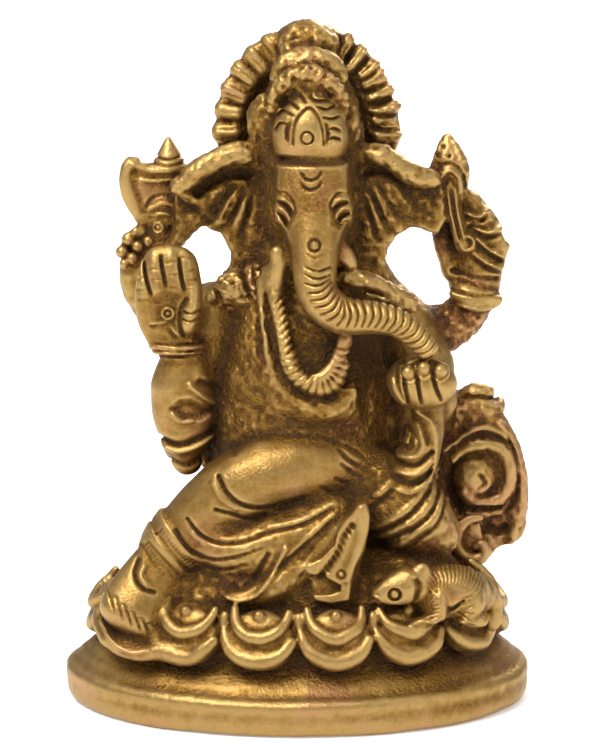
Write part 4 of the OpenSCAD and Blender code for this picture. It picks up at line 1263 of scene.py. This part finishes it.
def worn(clay, points, normals, room, polish):
    """How rubbed each point's metal is, from 0 in a dark hollow to 1 on a bright edge, less where the spots
    of patina and painted shade darken it.
    """
    axes, tight, wide = room
    edge = read_at(blurred(clay.field, FINE_REACH / clay.voxel), clay.axes, points) / FINE_REACH
    outside = points + normals * LOOK_OUT
    close = read_at(tight, axes, outside)
    broad = read_at(wide, axes, outside)
    wear_and_shade = USUAL_WEAR + polish + EDGE_WEAR * edge - (close - OPEN_CLOSE)
    wear_and_shade -= WIDE_WEAR * (broad - OPEN_BROAD)
    # these spots darken the colour, as patina and as painted shade such as the chest's shadow
    for centre, reach, amount in clay.stains:
        wear_and_shade -= amount * np.exp(-(np.linalg.norm(points - centre, axis=1) ** 2) / reach**2)
    return np.clip(wear_and_shade, 0, 1)


def mesh_piece(clay, room, polish):
    """The piece's mesh, with its rubbing and painted shade on every point."""
    points, quads = clay.quads()
    normals = normals_of(points, quads)
    mesh = bpy.data.meshes.new(clay.node + "_skin")
    mesh.vertices.add(len(points))
    mesh.vertices.foreach_set("co", (points * UNIT + ORIGIN).astype(np.float32).ravel())
    mesh.loops.add(len(quads) * 4)
    mesh.loops.foreach_set("vertex_index", quads.astype(np.int32).ravel())
    mesh.polygons.add(len(quads))
    mesh.polygons.foreach_set("loop_start", np.arange(0, len(quads) * 4, 4, dtype=np.int32))
    mesh.polygons.foreach_set("use_smooth", np.ones(len(quads), bool))
    mesh.update(calc_edges=True)
    mesh.validate()
    wear_and_shade = mesh.attributes.new("wear_and_shade", "FLOAT", "POINT")
    wear_and_shade.data.foreach_set("value", worn(clay, points, normals, room, polish).astype(np.float32))
    piece = bpy.data.objects.new(clay.node + "_cast", mesh)
    bpy.context.scene.collection.objects.link(piece)
    return piece


BRASS_STOPS = [
    (0.0, (0.07, 0.031, 0.005)),
    (0.25, (0.124, 0.057, 0.009)),
    (0.5, (0.187, 0.09, 0.015)),
    (0.75, (0.285, 0.16, 0.04)),
    (1.0, (0.44, 0.28, 0.095)),
]
COPPER_STOPS = [
    (0.0, (0.07, 0.027, 0.008)),
    (0.25, (0.134, 0.053, 0.016)),
    (0.5, (0.21, 0.087, 0.029)),
    (0.75, (0.32, 0.155, 0.062)),
    (1.0, (0.46, 0.26, 0.11)),
]


def ramp(nodes, stops):
    """A colour ramp through (place, colour) stops."""
    node = nodes.new("ShaderNodeValToRGB")
    elements = node.color_ramp.elements
    while len(elements) > 1:
        elements.remove(elements[-1])
    for i, (place, colour) in enumerate(stops):
        element = elements[0] if i == 0 else elements.new(place)
        element.position, element.color = place, (*colour, 1)
    return node


def noise(nodes, links, place, size, detail=3.0, rough=0.6):
    """Noise with features of that size in millimetres."""
    node = nodes.new("ShaderNodeTexNoise")
    node.inputs["Scale"].default_value = 1 / (size * UNIT)
    node.inputs["Detail"].default_value = detail
    node.inputs["Roughness"].default_value = rough
    links.new(place, node.inputs["Vector"])
    return node.outputs["Fac"]


def maths(nodes, links, kind, a, b, clamp=False):
    node = nodes.new("ShaderNodeMath")
    node.operation, node.use_clamp = kind, clamp
    for socket, value in zip(node.inputs, (a, b)):
        if isinstance(value, (int, float)):
            socket.default_value = value
        else:
            links.new(value, socket)
    return node.outputs[0]


def spread(nodes, links, value, start, end, low, high):
    node = nodes.new("ShaderNodeMapRange")
    for name, x in zip(("From Min", "From Max", "To Min", "To Max"), (start, end, low, high)):
        node.inputs[name].default_value = x
    links.new(value, node.inputs["Value"])
    return node.outputs["Result"]


def blend_colours(nodes, links, share, a, b):
    node = nodes.new("ShaderNodeMix")
    node.data_type = "RGBA"
    links.new(share, node.inputs["Factor"])
    links.new(a, node.inputs["A"])
    links.new(b, node.inputs["B"])
    return node.outputs["Result"]


def cast_metal(name, copper):
    """Old cast brass: rubbed bright on its high places, dark and grainy in its hollows, with copper tints."""
    material = bpy.data.materials.new(name)
    material.use_nodes = True
    nodes, links = material.node_tree.nodes, material.node_tree.links
    shader = nodes["Principled BSDF"]
    place = nodes.new("ShaderNodeTexCoord").outputs["Object"]
    # the attribute read here carries the rubbing, the patina in the hollows and the painted shade spots into
    # the colour
    wear_and_shade = nodes.new("ShaderNodeAttribute")
    wear_and_shade.attribute_name = "wear_and_shade"
    wear_and_shade = wear_and_shade.outputs["Fac"]
    grain = noise(nodes, links, place, 0.42, 2.0, 0.75)
    cloud = noise(nodes, links, place, 1.6, 3.0, 0.6)
    patch = noise(nodes, links, place, 6.0, 2.0, 0.5)
    rough = spread(nodes, links, wear_and_shade, 0.35, 0.72, 1.4, 0.3)
    broken = maths(nodes, links, "MULTIPLY", maths(nodes, links, "SUBTRACT", grain, 0.5), rough)
    drift = maths(nodes, links, "MULTIPLY", maths(nodes, links, "SUBTRACT", cloud, 0.5), 0.35)
    bare_and_shade = maths(nodes, links, "ADD", maths(nodes, links, "ADD", wear_and_shade, broken), drift, clamp=True)
    brass = ramp(nodes, BRASS_STOPS)
    tinted = ramp(nodes, COPPER_STOPS)
    links.new(bare_and_shade, brass.inputs["Fac"])
    links.new(bare_and_shade, tinted.inputs["Fac"])
    share = spread(nodes, links, patch, 0.55 - copper, 0.7 - copper, 0.0, 0.75)
    colour = blend_colours(nodes, links, share, brass.outputs[0], tinted.outputs[0])
    links.new(colour, shader.inputs["Base Color"])
    links.new(spread(nodes, links, bare_and_shade, 0.1, 0.9, 0.6, 0.44), shader.inputs["Roughness"])
    links.new(spread(nodes, links, bare_and_shade, 0.0, 0.6, 0.5, 0.95), shader.inputs["Metallic"])
    pits = spread(nodes, links, wear_and_shade, 0.3, 0.75, 1.0, 0.15)
    bump = nodes.new("ShaderNodeBump")
    bump.inputs["Distance"].default_value = 0.8 * UNIT
    links.new(pits, bump.inputs["Strength"])
    links.new(grain, bump.inputs["Height"])
    links.new(bump.outputs["Normal"], shader.inputs["Normal"])
    return material


# Stage -------------------------------------------------------------------------------------------

CAMERA_AWAY = 280.0
CAMERA_HEIGHT_ANGLE = 10.0
CAMERA_TARGET = (0.28, 0.0, 36.9)
CAMERA_LENS = 118.03
SENSOR_HEIGHT = 36.0
LIGHTS_FACE = (0, 0, 38)
FLOOR_REACH = 4000.0
FLOOR_DROP = 0.02  # how far the floor lies under the foot
FLOOR_NEAR, FLOOR_FAR = 100, 400  # the floor brightens between these distances
DOME_ROWS, DOME_TURNS, DOME_RADIUS = 12, 48, 3500.0


def at(x, y, z):
    """A place in the statue's millimetres, in metres."""
    return Vector([float(v) for v in ORIGIN + np.array([x, y, z]) * UNIT])


def camera():
    data = bpy.data.cameras.new("camera")
    data.sensor_fit, data.sensor_height, data.lens = "VERTICAL", SENSOR_HEIGHT, CAMERA_LENS
    data.clip_start, data.clip_end = 0.01, 20
    eye = bpy.data.objects.new("camera", data)
    rise = math.radians(CAMERA_HEIGHT_ANGLE)
    target = at(*CAMERA_TARGET)
    eye.location = target + Vector((0, -math.cos(rise), math.sin(rise))) * CAMERA_AWAY * UNIT
    eye.rotation_mode = "QUATERNION"
    eye.rotation_quaternion = (target - eye.location).to_track_quat("-Z", "Y")
    bpy.context.scene.collection.objects.link(eye)
    bpy.context.scene.camera = eye


def soft_light(name, place, size, watts):
    """A square soft box at that place, facing the statue."""
    data = bpy.data.lights.new(name, "AREA")
    data.shape, data.size, data.energy = "SQUARE", size * UNIT, watts
    lamp = bpy.data.objects.new(name, data)
    lamp.location = at(*place)
    lamp.rotation_mode = "QUATERNION"
    lamp.rotation_quaternion = (at(*LIGHTS_FACE) - lamp.location).to_track_quat("-Z", "Y")
    bpy.context.scene.collection.objects.link(lamp)


def world():
    """Soft room light: brightest overhead, dimmer towards the floor."""
    made = bpy.data.worlds.new("room")
    bpy.context.scene.world = made
    made.use_nodes = True
    nodes, links = made.node_tree.nodes, made.node_tree.links
    split = nodes.new("ShaderNodeSeparateXYZ")
    links.new(nodes.new("ShaderNodeTexCoord").outputs["Generated"], split.inputs[0])
    greys = [(0.0, 0.3), (0.5, 0.14), (0.75, 0.5), (1.0, 1.0)]
    sky = ramp(nodes, [(place, (grey, grey, grey)) for place, grey in greys])
    height = spread(nodes, links, split.outputs["Z"], -1.0, 1.0, 0.0, 1.0)
    links.new(height, sky.inputs["Fac"])
    links.new(sky.outputs[0], nodes["Background"].inputs["Color"])


def plain(name, colour, glow):
    material = bpy.data.materials.new(name)
    material.use_nodes = True
    shader = material.node_tree.nodes["Principled BSDF"]
    shader.inputs["Base Color"].default_value = (*colour, 1)
    shader.inputs["Roughness"].default_value = 0.9
    shader.inputs["Specular IOR Level"].default_value = 0.0
    shader.inputs["Emission Color"].default_value = (1, 1, 1, 1)
    shader.inputs["Emission Strength"].default_value = glow
    return material


def floor():
    """A wide plain white floor under the statue, brighter further off."""
    mesh = bpy.data.meshes.new("floor")
    corners = [at(FLOOR_REACH * x, FLOOR_REACH * y, -FLOOR_DROP) for x,
               y in ((-1, -1), (1, -1), (1, 1), (-1, 1))]
    mesh.from_pydata(corners, [], [(0, 1, 2, 3)])
    made = bpy.data.objects.new("floor", mesh)
    white = plain("floor_white", (0.9, 0.9, 0.9), 0.25)
    nodes, links = white.node_tree.nodes, white.node_tree.links
    away = nodes.new("ShaderNodeVectorMath")
    away.operation = "LENGTH"
    links.new(nodes.new("ShaderNodeTexCoord").outputs["Object"], away.inputs[0])
    glow = spread(nodes, links, away.outputs["Value"], FLOOR_NEAR * UNIT, FLOOR_FAR * UNIT, 0.25, 1.0)
    links.new(glow, nodes["Principled BSDF"].inputs["Emission Strength"])
    made.data.materials.append(white)
    bpy.context.scene.collection.objects.link(made)


def backdrop():
    """A white dome far round the statue that only the camera sees, so that it lights nothing."""
    mesh = bpy.data.meshes.new("backdrop")
    points = [
        at(*(DOME_RADIUS * np.array([math.cos(r) * math.cos(t), math.cos(r) * math.sin(t), math.sin(r)])))
        for r in np.linspace(-0.05, math.pi / 2 - 0.01, DOME_ROWS)
        for t in np.arange(DOME_TURNS) * 2 * math.pi / DOME_TURNS
    ]
    faces = []
    for row in range(0, (DOME_ROWS - 1) * DOME_TURNS, DOME_TURNS):
        for j in range(DOME_TURNS):
            i = (j + 1) % DOME_TURNS
            faces.append((row + j, row + i, row + DOME_TURNS + i, row + DOME_TURNS + j))
    mesh.from_pydata(points, [], faces)
    made = bpy.data.objects.new("backdrop", mesh)
    made.data.materials.append(plain("backdrop_white", (0, 0, 0), 1.0))
    made.visible_diffuse = made.visible_glossy = made.visible_shadow = made.visible_transmission = False
    bpy.context.scene.collection.objects.link(made)


def build():
    coppers = {"aged_brass": 0.0, "coppery_brass": 0.2}
    metals = {slot: cast_metal(slot + "_skin", copper) for slot, copper in coppers.items()}
    clays = []
    for work, voxel, smooth, grid, _, _ in PIECES:
        clays.append(Clay(work.__name__, voxel, smooth, **grid))
        work(clays[-1])
    settle(clays)
    room = hollows(clays)
    for clay, (*_, slot, polish) in zip(clays, PIECES):
        piece = mesh_piece(clay, room, polish)
        piece.data.materials.append(metals[slot])
        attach(piece, "root")
        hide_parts(clay.node)


build()
camera()
world()
floor()
backdrop()
soft_light("key", (-130, -190, 330), 170, 1.2)
soft_light("fill", (230, -160, 120), 160, 0.15)
soft_light("rim", (90, 210, 190), 140, 0.4)
bpy.context.scene.view_settings.view_transform = "Standard"
